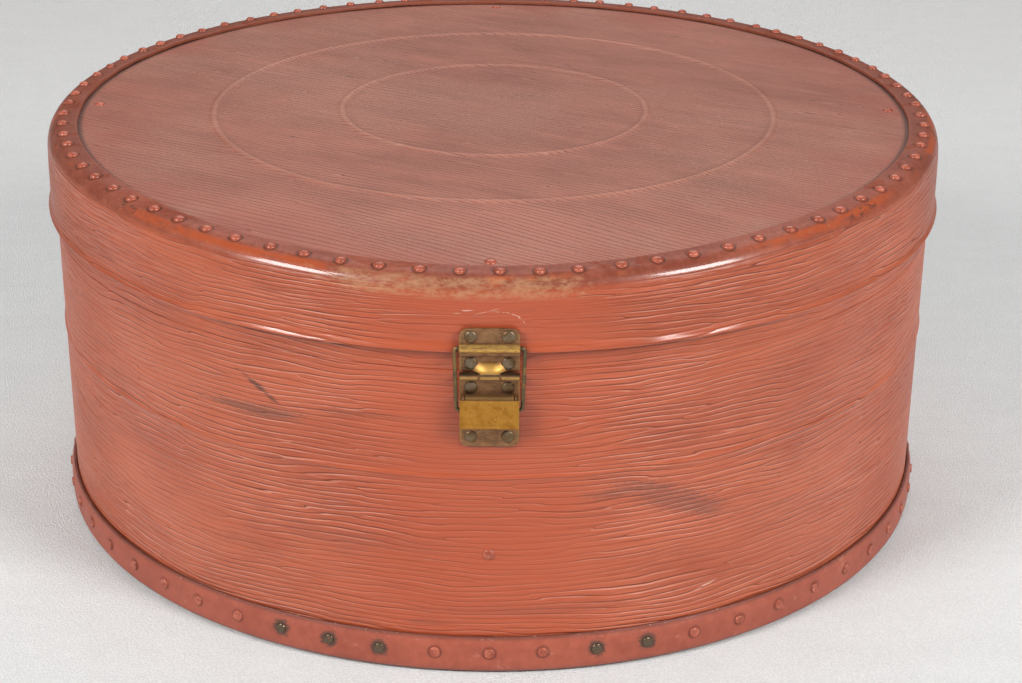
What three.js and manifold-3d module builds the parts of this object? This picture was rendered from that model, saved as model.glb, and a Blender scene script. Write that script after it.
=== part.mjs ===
// Round hatbox of grained vulcanised fibre, with a brass loop latch and two rear hinges.
// Millimetres, z up. The box stands on z = 0 around the z axis and its latch faces -y.
import * as THREE from 'three';
import { mergeVertices } from 'three/addons/utils/BufferGeometryUtils.js';
import Module from 'manifold-3d';

const wasm = await Module();
wasm.setup();

// Facet counts
const ringFacets = 48;
const rivetFacets = 6;
const wireFacets = 8;
const barrelFacets = 12;

// Box
const boxRadius = 216; // at the widest line, low on the lid
const bodyHeight = 142.7; // from the floor to the seam between body and lid
const lidHeight = 47.3; // from the seam to the top

// Gaps and cutters
const seatGap = 0.3; // between two pieces that touch
const cutOverrun = 3; // how far a cutter runs past what it cuts

// Body wall
const wallThickness = 2;
const wallLineDrop = 49; // from the seam to the embossed line round the body
const wallLineProud = 0.5;
const wallLineHalfWidth = 1.6;

// Pressed bottom, whose flange comes up outside the wall
const bottomThickness = 2.6;
const bottomFlangeHeight = 17.8;
const bottomCornerRadius = 4.2;
const bottomRivetHeight = 10.4;
const bottomRivetCount = 58;

// Collar that stands up inside the mouth and centres the lid
const collarThickness = 1.8;
const collarAboveSeam = 11.5;
const collarBelowSeam = 42;
const collarBevel = 1.1;

// Lid band: one pressing with a narrow skirt, a swelled side and a flange turned in over the top
const bandThickness = 1.8;
const skirtHeight = 7.2; // from the seam to the shoulder
const shoulderRise = 1.5; // from the shoulder up to the widest line
const swellProud = 3.4; // how far the widest line stands out from the skirt
const swellTaper = 1.6; // how far the side leans in from there to the rounded top edge
const rimCornerRadius = 4.4;
const rimWidth = 14.1; // from the top of the side to the flange's inner edge
const rimRivetInset = 7.4; // from the top of the side to the rivet row
const rimRivetCount = 80;

// Lid panel, with two raised rings
const panelThickness = 1.8;
const outerRingShare = 0.648; // of the panel's radius
const innerRingShare = 0.354;
const ringProud = 1.1;
const ringHalfWidth = 2.4;

// Linings of board
const liningThickness = 1;

// Rivets of the two rows, clenched in the pressings: each is a dome raised on the fibre itself
const rowHeadRadius = 2.9;
const rowHeadHeight = 1.3;
const rowHeadSink = 0.5; // carries the dome's foot past a facet's edge

// Through rivets of the fittings
const headRadius = 2.7;
const headHeight = 0.9;
const browShare = 0.72; // of a dome's radius and height, where its crown turns down
const shankRadius = 1.2;

// Single rivets at the four quarters, with a washer inside
const quarterNames = ['front', 'right', 'back', 'left']; // right as seen from the front
const panelQuarterInset = 7.3; // from the rim's inner edge
const wallQuarterHeight = 57.4;
const washerRadius = 4.4;
const washerThickness = 0.8;

// Brass sheet and wire
const plateThickness = 0.8;
const wireRadius = 0.8;
const pinRadius = 0.9;
const knuckleWall = 0.7;

// Latch
const latchWidth = 24.6;
const latchCornerRadius = 3.6;
const latchRivetInset = 3.8; // from a plate's end to its outer rivets
const latchRivetEdge = 4.7; // from a plate's side to its rivets
const strikeRise = 20.5; // from the seam to the strike plate's top
const loopAxisRise = 11.9; // from the seam to the bead that holds the wire loop
const beadSlack = 0.5; // between the wire and the bead round it
const strikeLowerRivetRise = 3.6;
const tongueHalfWidth = 3.9;
const tongueLength = 2.3; // below the seam
const swellingHalfWidth = 7; // of the tongue's swelling, at the strike plate's bottom edge
const swellingCrestHalfWidth = 2.6;
const swellingRise = 3.4; // from the strike plate's bottom edge to the crest
const swellingBrowShare = 0.75; // of the swelling's reach, where its crown turns down
const lugDepth = 4.3; // out from the base plate's back
const lugLip = 1.9; // height of the turned-down front
const notchClearance = 0.85;
const baseDrop = 34; // from the seam to the base plate's bottom
const baseUpperRivetDrop = 7.1;
const baseLowerRivetInset = 4.7; // from the plate's bottom

// Lever
const leverAxisDrop = 11.2; // from the seam
const leverAxisProud = 3.9; // out from the wall
const leverWidth = 24.2;
const leverReach = 11.6; // from its axis down to its lip
const leverStandOff = 2.5; // from its axis out to its back face
const leverBrow = 0.8; // from its axis up to its folded top
const leverLipProud = 0.9;
const leverLipHeight = 1.4;
const leverFlangeDrop = 5.7; // from its axis to the top of its side flanges
const leverFlangeDepth = 4;
const earInset = 1.2; // from the plate's edge to the ear
const earFootShare = 0.75; // of the barrel's radius, half the ear's height where it meets the plate

// Wire loop
const loopSideClearance = 1.2; // between the plates' edges and the wire
const loopNarrowing = 0.8; // on each side, from top to bottom
const loopLength = 27.2; // from its top bar down to its ends
const loopStandOff = 0.8; // of its ends, out from its top bar
const loopEndReach = 3.7; // how far its ends turn in behind the lever
const loopBendRadius = 1.7;

// Rear hinges
const hingeWidth = 20;
const hingeHalfSpacing = 22; // from the box's middle to a hinge's middle
const hingeLeafDrop = 21.7; // from the seam to the body leaf's bottom
const hingeLeafRise = 20.5; // from the seam to the lid leaf's top
const hingeRivetHalfSpacing = 5;
const hingeBodyRivetDrop = 14.7;
const hingeLidRivetRise = 15.9;

// Radii that follow
const wallRadius = boxRadius - swellProud;
const wallInner = wallRadius - wallThickness;
const flangeInner = wallRadius + seatGap;
const flangeOuter = flangeInner + bottomThickness;
const collarOuter = wallInner - seatGap;
const collarInner = collarOuter - collarThickness;
const swellTopRadius = boxRadius - swellTaper;
const rimInnerRadius = swellTopRadius - rimWidth;
const rimRivetRadius = swellTopRadius - rimRivetInset;
const panelRadius = swellTopRadius - rimCornerRadius - seatGap;
const outerRingRadius = panelRadius * outerRingShare;
const innerRingRadius = panelRadius * innerRingShare;
const panelQuarterRadius = rimInnerRadius - panelQuarterInset;
const halfLatch = latchWidth / 2;
const latchRivetHalfSpacing = halfLatch - latchRivetEdge;
const bottomInnerCorner = Math.max(bottomCornerRadius - bottomThickness, 0);
const barrelRadius = pinRadius + seatGap + knuckleWall;

// Heights that follow
const boxHeight = bodyHeight + lidHeight;
const wallBottom = bottomThickness + bottomInnerCorner + seatGap;
const wallTop = bodyHeight - seatGap / 2;
const wallLineHeight = bodyHeight - wallLineDrop;
const skirtBottom = bodyHeight + seatGap / 2;
const shoulderHeight = bodyHeight + skirtHeight;
const swellHeight = shoulderHeight + shoulderRise;
const collarTop = bodyHeight + collarAboveSeam;
const collarBottom = bodyHeight - collarBelowSeam;
const rimUnderside = boxHeight - bandThickness;
const panelTop = rimUnderside - seatGap;
const panelBottom = panelTop - panelThickness;
const strikeTop = bodyHeight + strikeRise;
const loopAxisHeight = bodyHeight + loopAxisRise;
const strikeUpperRivetHeight = strikeTop - latchRivetInset;
const strikeLowerRivetHeight = bodyHeight + strikeLowerRivetRise;
const baseTop = bodyHeight - seatGap;
const baseBottom = bodyHeight - baseDrop;
const baseUpperRivetHeight = bodyHeight - baseUpperRivetDrop;
const baseLowerRivetHeight = baseBottom + baseLowerRivetInset;
const leverAxisHeight = bodyHeight - leverAxisDrop;
const hingeLeafBottom = bodyHeight - hingeLeafDrop;
const hingeLeafTop = bodyHeight + hingeLeafRise;
const hingeBodyRivetHeight = bodyHeight - hingeBodyRivetDrop;
const hingeLidRivetHeight = bodyHeight + hingeLidRivetRise;

// Distances out from the wall that follow
const plateBackLow = seatGap;
const plateBackHigh = swellProud + seatGap;
const plateFaceLow = plateBackLow + plateThickness;
const plateFaceHigh = plateBackHigh + plateThickness;
const loopAxisProud = plateBackHigh + Math.max(wireRadius, plateThickness);
const leverBack = leverAxisProud + leverStandOff;
const hingeProud = plateFaceLow + seatGap + barrelRadius;
const lidPivot = new THREE.Vector3(0, wallRadius + hingeProud, bodyHeight);

// Materials
const finish = (color, roughness, metalness) => new THREE.MeshStandardMaterial(
  { color, roughness, metalness });
const grainedFibre = finish(0xc0694f, 0.45, 0);
const smoothFibre = finish(0xb06a58, 0.5, 0);
const liningBoard = finish(0xcdb892, 0.9, 0);
const paintedRivet = finish(0x9a5a48, 0.45, 0.2);
const brass = finish(0x9c8350, 0.4, 1);
const darkRivet = finish(0x5c6066, 0.45, 0.9);

// Solids

function weld(geometry) {
  const bare = geometry.index ? geometry.toNonIndexed() : geometry.clone();
  bare.deleteAttribute('normal');
  bare.deleteAttribute('uv');
  const merged = mergeVertices(bare, 1e-4);
  const index = merged.index.array;
  const kept = [];
  for (let i = 0; i < index.length; i += 3) {
    const [a, b, c] = [index[i], index[i + 1], index[i + 2]];
    if (a !== b && b !== c && c !== a) kept.push(a, b, c);
  }
  merged.setIndex(kept);
  return merged;
}

function signedVolume(geometry) {
  const position = geometry.attributes.position;
  const index = geometry.index.array;
  const [a, b, c] = [new THREE.Vector3(), new THREE.Vector3(), new THREE.Vector3()];
  let sum = 0;
  for (let i = 0; i < index.length; i += 3) {
    a.fromBufferAttribute(position, index[i]);
    b.fromBufferAttribute(position, index[i + 1]);
    c.fromBufferAttribute(position, index[i + 2]);
    sum += a.dot(b.cross(c));
  }
  return sum;
}

function faceOut(geometry) {
  const welded = weld(geometry);
  if (signedVolume(welded) < 0) welded.setIndex([...welded.index.array].reverse());
  return welded;
}

function toSolid(geometry) {
  const welded = faceOut(geometry);
  return new wasm.Manifold(new wasm.Mesh({
    numProp: 3,
    vertProperties: new Float32Array(welded.attributes.position.array),
    triVerts: new Uint32Array(welded.index.array),
  }));
}

function toGeometry(solid) {
  const mesh = solid.getMesh();
  const geometry = new THREE.BufferGeometry();
  geometry.setAttribute('position', new THREE.BufferAttribute(mesh.vertProperties, 3));
  geometry.setIndex(new THREE.BufferAttribute(mesh.triVerts, 1));
  return geometry;
}

function cut(geometry, cutters) {
  return toGeometry(cutters.reduce((solid, cutter) => solid.subtract(toSolid(cutter)), toSolid(geometry)));
}

function join(first, ...others) {
  return toGeometry(others.reduce((solid, more) => solid.add(toSolid(more)), toSolid(first)));
}

function common(geometry, other) {
  return toGeometry(toSolid(geometry).intersect(toSolid(other)));
}

// A profile of [radius, height] points turned round the z axis. Radii are to the middle of a facet,
// and a facet faces each quarter, so flat fittings seat on it.
function revolve(profile, facets = ringFacets) {
  const half = Math.PI / facets;
  const points = profile.map(([radius, height]) => new THREE.Vector2(radius / Math.cos(half), height));
  return new THREE.LatheGeometry(points, facets, half).rotateX(Math.PI / 2);
}

const closed = (profile) => [...profile, profile[0]];

function arcPoints(centreX, centreY, radius, fromDegrees, toDegrees, steps) {
  const points = [];
  for (let i = 0; i <= steps; i += 1) {
    const angle = THREE.MathUtils.degToRad(fromDegrees + ((toDegrees - fromDegrees) * i) / steps);
    points.push([centreX + radius * Math.cos(angle), centreY + radius * Math.sin(angle)]);
  }
  return points;
}

// Frame on the wall at an angle from the front: x out from the wall, y up, z sideways
function wallFrame(angle, radius = wallRadius) {
  const out = new THREE.Vector3(Math.sin(angle), -Math.cos(angle), 0);
  const up = new THREE.Vector3(0, 0, 1);
  const basis = new THREE.Matrix4().makeBasis(out, up, new THREE.Vector3().crossVectors(out, up));
  return basis.setPosition(out.x * radius, out.y * radius, 0);
}

const onWall = (geometry, angle, radius) => geometry.clone().applyMatrix4(wallFrame(angle, radius));

// The same on a faceted ring's own facet, square to it, at an angle and a height
function onFacet(geometry, angle, radius, height) {
  const step = (2 * Math.PI) / ringFacets;
  const facing = Math.round(angle / step) * step;
  const across = -Math.tan(angle - facing) * radius;
  return onWall(geometry.clone().translate(0, height, across), facing, radius);
}

// A side-view outline of [out, up] points, as wide as asked and centred
function barOf(outline, width, middle = 0) {
  const shape = new THREE.Shape(outline.map(([x, y]) => new THREE.Vector2(x, y)));
  const bar = new THREE.ExtrudeGeometry(shape, { depth: width, bevelEnabled: false, steps: 1 });
  return bar.translate(0, 0, middle - width / 2);
}

const rectangle = (x0, y0, x1, y1) => [[x0, y0], [x1, y0], [x1, y1], [x0, y1]];

// A cylinder along z, in the same frame as barOf
function rodAlong(radius, length, middle = 0, facets = barrelFacets) {
  const rod = new THREE.CylinderGeometry(radius, radius, length, facets);
  return rod.rotateX(Math.PI / 2).translate(0, 0, middle);
}

// A front-view blank with rounded corners, standing out from the wall
function roundedBlank(width, bottom, top, roundBottom, roundTop) {
  const radius = Math.min(latchCornerRadius, width / 2, (top - bottom) / 2);
  const half = width / 2;
  const corners = [];
  const corner = (x, y, rounded, from) => {
    const middleY = y < (bottom + top) / 2 ? y + radius : y - radius;
    const round = arcPoints(x - Math.sign(x) * radius, middleY, radius, from, from + 90, 3);
    corners.push(...(rounded ? round : [[x, y]]));
  };
  corner(half, bottom, roundBottom, -90);
  corner(half, top, roundTop, 0);
  corner(-half, top, roundTop, 90);
  corner(-half, bottom, roundBottom, 180);
  const depth = leverBack + swellProud + cutOverrun;
  return barOf(corners, depth * 2).rotateY(-Math.PI / 2);
}

// A profile of [radius, distance along x] points turned round the x axis
function turnedAlongX(profile) {
  const points = profile.map(([radius, along]) => new THREE.Vector2(radius, along));
  return new THREE.LatheGeometry(points, rivetFacets).rotateZ(-Math.PI / 2);
}

// Rivet: domed head from x = 0 out, shank the other way
function rivet(grip) {
  return turnedAlongX([
    [0, headHeight],
    [headRadius * browShare, headHeight * browShare],
    [headRadius, 0],
    [shankRadius, 0],
    [shankRadius, -grip],
    [0, -grip],
  ]);
}

// The hole that a rivet's shank passes through, from one face to the other
function rivetHole(from, to) {
  const radius = shankRadius + seatGap;
  return turnedAlongX([[0, from], [radius, from], [radius, to], [0, to]]);
}

// Dome of a row rivet, its foot sunk in the face that carries it
function rowHead() {
  return turnedAlongX([
    [0, rowHeadHeight],
    [rowHeadRadius * browShare, rowHeadHeight * browShare],
    [rowHeadRadius, 0],
    [rowHeadRadius, -rowHeadSink],
    [0, -rowHeadSink],
  ]);
}

const evenly = (count, make, offset = 0) => Array.from({ length: count },
  (_, i) => make(((i + offset) * 2 * Math.PI) / count));

function piece(name, geometry, material) {
  const mesh = new THREE.Mesh(faceOut(geometry), material);
  mesh.name = name;
  return mesh;
}

// Places of the fittings' rivets: across the wall, height, and how far the plate's back stands out
const sides = [-1, 1];
const strikeRivets = sides.flatMap((side) => [
  { across: side * latchRivetHalfSpacing, height: strikeUpperRivetHeight, back: plateBackHigh },
  { across: side * latchRivetHalfSpacing, height: strikeLowerRivetHeight, back: plateBackLow },
]);
const baseRivets = sides.flatMap((side) => [baseUpperRivetHeight, baseLowerRivetHeight]
  .map((height) => ({ across: side * latchRivetHalfSpacing, height, back: plateBackLow })));

// Rivets of a flat front plate stand square to it
const frontRivet = (rivetAt, geometry) => geometry.clone()
  .translate(rivetAt.back + plateThickness + seatGap, rivetAt.height, rivetAt.across);
const wallDepth = wallThickness + seatGap + collarThickness;
function frontHole(rivetAt, depth) {
  const hole = rivetHole(-depth - cutOverrun, rivetAt.back + plateThickness + cutOverrun);
  return hole.translate(0, rivetAt.height, rivetAt.across);
}


// Rivets of the curved hinge leaves stand square to the wall where they are
const hingeMiddles = sides.map((side) => side * hingeHalfSpacing);
const hingeRivetAnglesAt = (middle) => sides
  .map((side) => Math.PI - Math.asin((middle + side * hingeRivetHalfSpacing) / wallRadius));
const hingeRivetAngles = hingeMiddles.flatMap(hingeRivetAnglesAt);
const hingeRivet = (angle, height, back, grip) => onFacet(
  rivet(grip).translate(back + plateThickness + seatGap, 0, 0), angle, wallRadius, height);
const hingeHole = (angle, height) => onFacet(
  rivetHole(-wallDepth - cutOverrun, plateFaceHigh + cutOverrun), angle, wallRadius, height);

const quarterAngles = evenly(quarterNames.length, (angle) => angle);

// Body

function bodyWall() {
  const profile = closed([
    [wallRadius, wallBottom],
    [wallRadius, wallLineHeight - wallLineHalfWidth],
    [wallRadius + wallLineProud, wallLineHeight],
    [wallRadius, wallLineHeight + wallLineHalfWidth],
    [wallRadius, wallTop],
    [wallInner, wallTop],
    [wallInner, wallBottom],
  ]);
  return cut(revolve(profile), [
    ...baseRivets.map((rivetAt) => onWall(frontHole(rivetAt, wallDepth), 0)),
    ...hingeRivetAngles.map((angle) => hingeHole(angle, hingeBodyRivetHeight)),
    ...quarterAngles.map((angle) => onWall(
      rivetHole(-wallDepth - cutOverrun, cutOverrun).translate(0, wallQuarterHeight, 0), angle)),
  ]);
}

function bottomDish() {
  const corner = bottomCornerRadius;
  const innerCorner = bottomInnerCorner;
  const dish = revolve([
    [0, 0],
    ...arcPoints(flangeOuter - corner, corner, corner, -90, 0, 3),
    [flangeOuter, bottomFlangeHeight],
    [flangeInner, bottomFlangeHeight],
    ...arcPoints(flangeInner - innerCorner, bottomThickness + innerCorner, innerCorner, 0, -90, 1),
    [0, bottomThickness],
  ]);
  const head = rowHead();
  const heads = evenly(bottomRivetCount, (angle) => onFacet(head, angle, flangeOuter, bottomRivetHeight));
  return join(dish, ...heads);
}

function mouthCollar() {
  const profile = closed([
    [collarOuter, collarBottom],
    [collarOuter, collarTop - collarBevel],
    [collarOuter - collarBevel / 2, collarTop],
    [collarInner, collarTop],
    [collarInner, collarBottom],
  ]);
  return cut(revolve(profile), [
    ...baseRivets.map((rivetAt) => onWall(frontHole(rivetAt, wallDepth), 0)),
    ...hingeRivetAngles.map((angle) => hingeHole(angle, hingeBodyRivetHeight)),
  ]);
}

const floorLiningTop = bottomThickness + seatGap + liningThickness;
const wallLiningOuter = wallInner - seatGap;
const wallLiningInner = wallLiningOuter - liningThickness;

function floorLining() {
  const radius = wallInner - seatGap - bottomInnerCorner;
  const underside = bottomThickness + seatGap;
  return revolve([[0, underside], [radius, underside], [radius, floorLiningTop], [0, floorLiningTop]]);
}

function wallLining() {
  const top = collarBottom - seatGap;
  const bottom = floorLiningTop + seatGap;
  const profile = closed([
    [wallLiningOuter, bottom], [wallLiningOuter, top], [wallLiningInner, top], [wallLiningInner, bottom],
  ]);
  return cut(revolve(profile), quarterAngles.map((angle) => onWall(
    rivetHole(-wallDepth - cutOverrun, cutOverrun).translate(0, wallQuarterHeight, 0), angle)));
}

function ringWasher() {
  const profile = closed([
    [washerRadius, 0], [washerRadius, washerThickness],
    [shankRadius + seatGap, washerThickness], [shankRadius + seatGap, 0],
  ]);
  return turnedAlongX(profile);
}

const wallWasherBack = wallLiningInner - seatGap - washerThickness;

const wallQuarterGrip = wallRadius + seatGap - wallWasherBack;
const wallQuarterRivet = (angle) => onWall(
  rivet(wallQuarterGrip).translate(seatGap, wallQuarterHeight, 0), angle);
const wallQuarterWasher = (angle) => onWall(
  ringWasher().translate(wallWasherBack - wallRadius, wallQuarterHeight, 0), angle);

// Lid

const bandInner = (radius) => radius - bandThickness;
const rimCornerCentre = swellTopRadius - rimCornerRadius;
const rimCornerHeight = boxHeight - rimCornerRadius;

function lidBand() {
  const profile = closed([
    [wallRadius, skirtBottom],
    [wallRadius, shoulderHeight],
    [boxRadius, swellHeight],
    ...arcPoints(rimCornerCentre, rimCornerHeight, rimCornerRadius, 0, 90, 4),
    [rimInnerRadius, boxHeight],
    [rimInnerRadius, rimUnderside],
    ...arcPoints(rimCornerCentre, rimCornerHeight, bandInner(rimCornerRadius), 90, 0, 2),
    [bandInner(boxRadius), swellHeight + bandThickness / 2],
    [bandInner(wallRadius), shoulderHeight + bandThickness / 2],
    [bandInner(wallRadius), skirtBottom],
  ]);
  const head = rowHead();
  const heads = evenly(rimRivetCount, (angle) => onTop(head, angle, rimRivetRadius, boxHeight), 0.5);
  return cut(join(revolve(profile), ...heads), [
    ...strikeRivets.map((rivetAt) => onWall(frontHole(rivetAt, bandThickness), 0)),
    ...hingeRivetAngles.map((angle) => hingeHole(angle, hingeLidRivetHeight)),
  ]);
}

// A piece made along x, turned to stand along z at an angle and a distance from the axis
function onTop(geometry, angle, radius, height = 0) {
  const place = new THREE.Matrix4().makeRotationY(-Math.PI / 2);
  place.setPosition(Math.sin(angle) * radius, -Math.cos(angle) * radius, height);
  return geometry.clone().applyMatrix4(place);
}

const onPanel = (geometry, angle) => onTop(geometry, angle, panelQuarterRadius);

function panelHoles() {
  const hole = rivetHole(panelBottom - liningThickness - cutOverrun, panelTop + cutOverrun);
  return quarterAngles.map((angle) => onPanel(hole, angle));
}

function ringRidge(radius, height) {
  return [
    [radius + ringHalfWidth, height],
    [radius, height + ringProud],
    [radius - ringHalfWidth, height],
  ];
}

function lidPanel() {
  const upper = [
    [panelRadius, panelTop],
    ...ringRidge(outerRingRadius, panelTop),
    ...ringRidge(innerRingRadius, panelTop),
    [0, panelTop],
  ];
  const lower = [
    [panelRadius, panelBottom],
    ...ringRidge(outerRingRadius, panelBottom),
    ...ringRidge(innerRingRadius, panelBottom),
    [0, panelBottom],
  ];
  return cut(revolve([...lower.reverse(), ...upper]), panelHoles());
}

const lidLiningTop = panelBottom - seatGap;
const lidLiningBottom = lidLiningTop - liningThickness;

function lidLining() {
  const disc = revolve([
    [0, lidLiningBottom], [panelRadius, lidLiningBottom], [panelRadius, lidLiningTop], [0, lidLiningTop],
  ]);
  return cut(disc, panelHoles());
}

const panelWasherBottom = lidLiningBottom - seatGap - washerThickness;
const panelQuarterGrip = panelTop + seatGap - panelWasherBottom;
const panelQuarterRivet = (angle) => onPanel(
  rivet(panelQuarterGrip).translate(panelTop + seatGap, 0, 0), angle);
const panelQuarterWasher = (angle) => onPanel(
  ringWasher().translate(panelWasherBottom, 0, 0), angle);

// Latch

const beadBore = wireRadius + beadSlack;
const beadOuter = beadBore + plateThickness;
const jogAngle = Math.atan2(swellProud, shoulderRise);
const jogDrop = plateThickness * Math.tan(jogAngle / 2); // mitre of the plate's outer face at the step

// The strike plate's side view: flat on the swell, rolled over the loop, stepped in to the skirt
function strikePlate() {
  const outline = [
    [plateBackHigh, strikeTop],
    [plateBackHigh, loopAxisHeight + beadBore],
    ...arcPoints(loopAxisProud, loopAxisHeight, beadBore, 90, -90, 4),
    [plateBackHigh, loopAxisHeight - beadBore],
    [plateBackHigh, swellHeight - seatGap],
    [plateBackLow, shoulderHeight - seatGap],
    [plateBackLow, bodyHeight + seatGap],
    [plateFaceLow, bodyHeight + seatGap],
    [plateFaceLow, shoulderHeight - seatGap - jogDrop],
    [plateFaceHigh, swellHeight - seatGap - jogDrop],
    ...arcPoints(loopAxisProud, loopAxisHeight, beadOuter, -90, 90, 6),
    [plateFaceHigh, loopAxisHeight + beadOuter],
    [plateFaceHigh, strikeTop],
  ];
  const blank = roundedBlank(latchWidth, bodyHeight, strikeTop, false, true);
  const sheet = common(barOf(outline, latchWidth), blank);
  const pressed = cut(join(sheet, swelling(0)), [swelling(plateThickness)]);
  return cut(join(pressed, tongue()), strikeRivets.map((rivetAt) => frontHole(rivetAt, 0)));
}

const lugFront = plateBackLow + lugDepth;

// The swelling pressed out of the strike plate's bottom edge, or with an inset the hollow behind it
function swelling(inset) {
  const root = bodyHeight + seatGap - inset;
  const reach = lugFront - plateFaceLow;
  const corners = [
    [plateFaceLow - inset, root, swellingHalfWidth],
    [plateFaceLow - inset, root + swellingRise, swellingCrestHalfWidth],
    [plateFaceLow + reach * swellingBrowShare - inset, root + swellingRise * 0.5, tongueHalfWidth],
    [lugFront - inset, root, tongueHalfWidth],
    [plateBackLow - inset + seatGap, root, swellingHalfWidth],
    [plateBackLow - inset + seatGap, root + swellingRise, swellingCrestHalfWidth],
  ];
  const points = sides.flatMap((side) => corners.map(([x, y, z]) => [x, y, side * (z - inset)]));
  return toGeometry(wasm.Manifold.hull(points));
}

// The tongue, which drops from the swelling between the base plate's lugs
function tongue() {
  const foot = bodyHeight + seatGap + plateThickness / 2;
  const strip = rectangle(lugFront - plateThickness, bodyHeight - tongueLength, lugFront, foot);
  return barOf(strip, tongueHalfWidth * 2);
}

const earThickness = plateThickness;
const earMiddle = halfLatch - earInset - earThickness / 2;

function basePlate() {
  const face = plateFaceLow;
  const lugBottom = baseTop - plateThickness;
  const outline = [
    [plateBackLow, baseBottom],
    [face, baseBottom],
    [face, lugBottom],
    [lugFront - plateThickness, lugBottom],
    [lugFront - plateThickness, baseTop - lugLip],
    [lugFront, baseTop - lugLip],
    [lugFront, baseTop],
    [plateBackLow, baseTop],
  ];
  const blank = roundedBlank(latchWidth, baseBottom, baseTop, true, false);
  const sheet = common(barOf(outline, latchWidth), blank);
  const notchBottom = baseTop - lugLip - cutOverrun;
  const notch = barOf(rectangle(face, notchBottom, lugFront + cutOverrun, baseTop + cutOverrun),
    (tongueHalfWidth + notchClearance) * 2);
  const earFoot = barrelRadius * earFootShare;
  const ear = [
    [plateBackLow + plateThickness / 2, leverAxisHeight - earFoot],
    [leverAxisProud, leverAxisHeight - barrelRadius],
    ...arcPoints(leverAxisProud, leverAxisHeight, barrelRadius, -60, 60, 4),
    [leverAxisProud, leverAxisHeight + barrelRadius],
    [plateBackLow + plateThickness / 2, leverAxisHeight + earFoot],
  ];
  const body = join(sheet, ...sides.map((side) => barOf(ear, earThickness, side * earMiddle)));
  const bore = rodAlong(pinRadius + seatGap, latchWidth).translate(leverAxisProud, leverAxisHeight, 0);
  return cut(body, [notch, bore, ...baseRivets.map((rivetAt) => frontHole(rivetAt, 0))]);
}

const leverPinLength = (earMiddle + earThickness / 2 + seatGap) * 2;

// The lever about its own hinge line: plate, thumb lip, side flanges and the barrel behind it
function lever() {
  const back = leverStandOff;
  const front = back + plateThickness;
  const bottom = -leverReach;
  const plate = barOf([
    [back, 0],
    [back, bottom + leverLipHeight],
    [back + leverLipProud, bottom],
    [front + leverLipProud, bottom],
    [front, bottom + leverLipHeight],
    [front, leverBrow],
    [back, leverBrow],
  ], leverWidth);
  const flangeTop = -leverFlangeDrop;
  const flangeOutline = [
    [back - leverFlangeDepth, flangeTop],
    [back - leverFlangeDepth, flangeTop - leverFlangeDepth / 2],
    [back, bottom + leverLipHeight],
    [back + plateThickness / 2, bottom + leverLipHeight],
    [back + plateThickness / 2, flangeTop],
  ];
  const flanges = sides.map((side) => barOf(flangeOutline, plateThickness,
    side * (leverWidth - plateThickness) / 2));
  const barrelLength = (earMiddle - earThickness / 2 - seatGap) * 2;
  const barrel = rodAlong(barrelRadius, barrelLength);
  const web = barOf(rectangle(0, -plateThickness / 2, front, plateThickness / 2), barrelLength);
  const bore = rodAlong(pinRadius + seatGap, leverWidth);
  return cut(join(plate, barrel, web, ...flanges), [bore]);
}

// A line of points whose rings fall exactly on the points
class WireRoute extends THREE.Curve {
  constructor(points) {
    super();
    this.points = points;
  }

  getPoint(t, target = new THREE.Vector3()) {
    const place = Math.min(Math.max(t, 0), 1) * (this.points.length - 1);
    const i = Math.min(Math.floor(place), this.points.length - 2);
    return target.lerpVectors(this.points[i], this.points[i + 1], place - i);
  }

  getUtoTmapping(u) {
    return u;
  }
}

// Points round a corner from one straight to the next
function bend(before, corner, after, radius, steps = 3) {
  const start = corner.clone().add(before.clone().sub(corner).setLength(radius));
  const end = corner.clone().add(after.clone().sub(corner).setLength(radius));
  return new THREE.QuadraticBezierCurve3(start, corner, end).getPoints(steps);
}

// The wire loop about its top bar, open at the bottom, its two ends turned in
function wireLoop() {
  const halfTop = halfLatch + loopSideClearance + wireRadius;
  const halfBottom = halfTop - loopNarrowing;
  const corner = [
    new THREE.Vector3(loopStandOff, -loopLength, -(halfBottom - loopEndReach)),
    new THREE.Vector3(loopStandOff, -loopLength, -halfBottom),
    new THREE.Vector3(0, 0, -halfTop),
    new THREE.Vector3(0, 0, halfTop),
    new THREE.Vector3(loopStandOff, -loopLength, halfBottom),
    new THREE.Vector3(loopStandOff, -loopLength, halfBottom - loopEndReach),
  ];
  const points = [corner[0]];
  for (let i = 1; i < corner.length - 1; i += 1) {
    points.push(...bend(corner[i - 1], corner[i], corner[i + 1], loopBendRadius));
  }
  points.push(corner[corner.length - 1]);
  const round = arcPoints(0, 0, wireRadius, 0, 360, wireFacets).slice(0, -1);
  const section = new THREE.Shape(round.map(([x, y]) => new THREE.Vector2(x, y)));
  const extrudePath = new WireRoute(points);
  return new THREE.ExtrudeGeometry(section, { steps: points.length - 1, extrudePath });
}

const frontGrip = (rivetAt, depth) => rivetAt.back + plateThickness + seatGap + depth;
const latchRivet = (rivetAt, depth) => frontRivet(rivetAt, rivet(frontGrip(rivetAt, depth)));

// On the swell the band's inner face stands further out than on the skirt
const strikeDepth = (rivetAt) => bandThickness - (rivetAt.back - plateBackLow);

// Hinges

const hingeBack = Math.PI;

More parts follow.
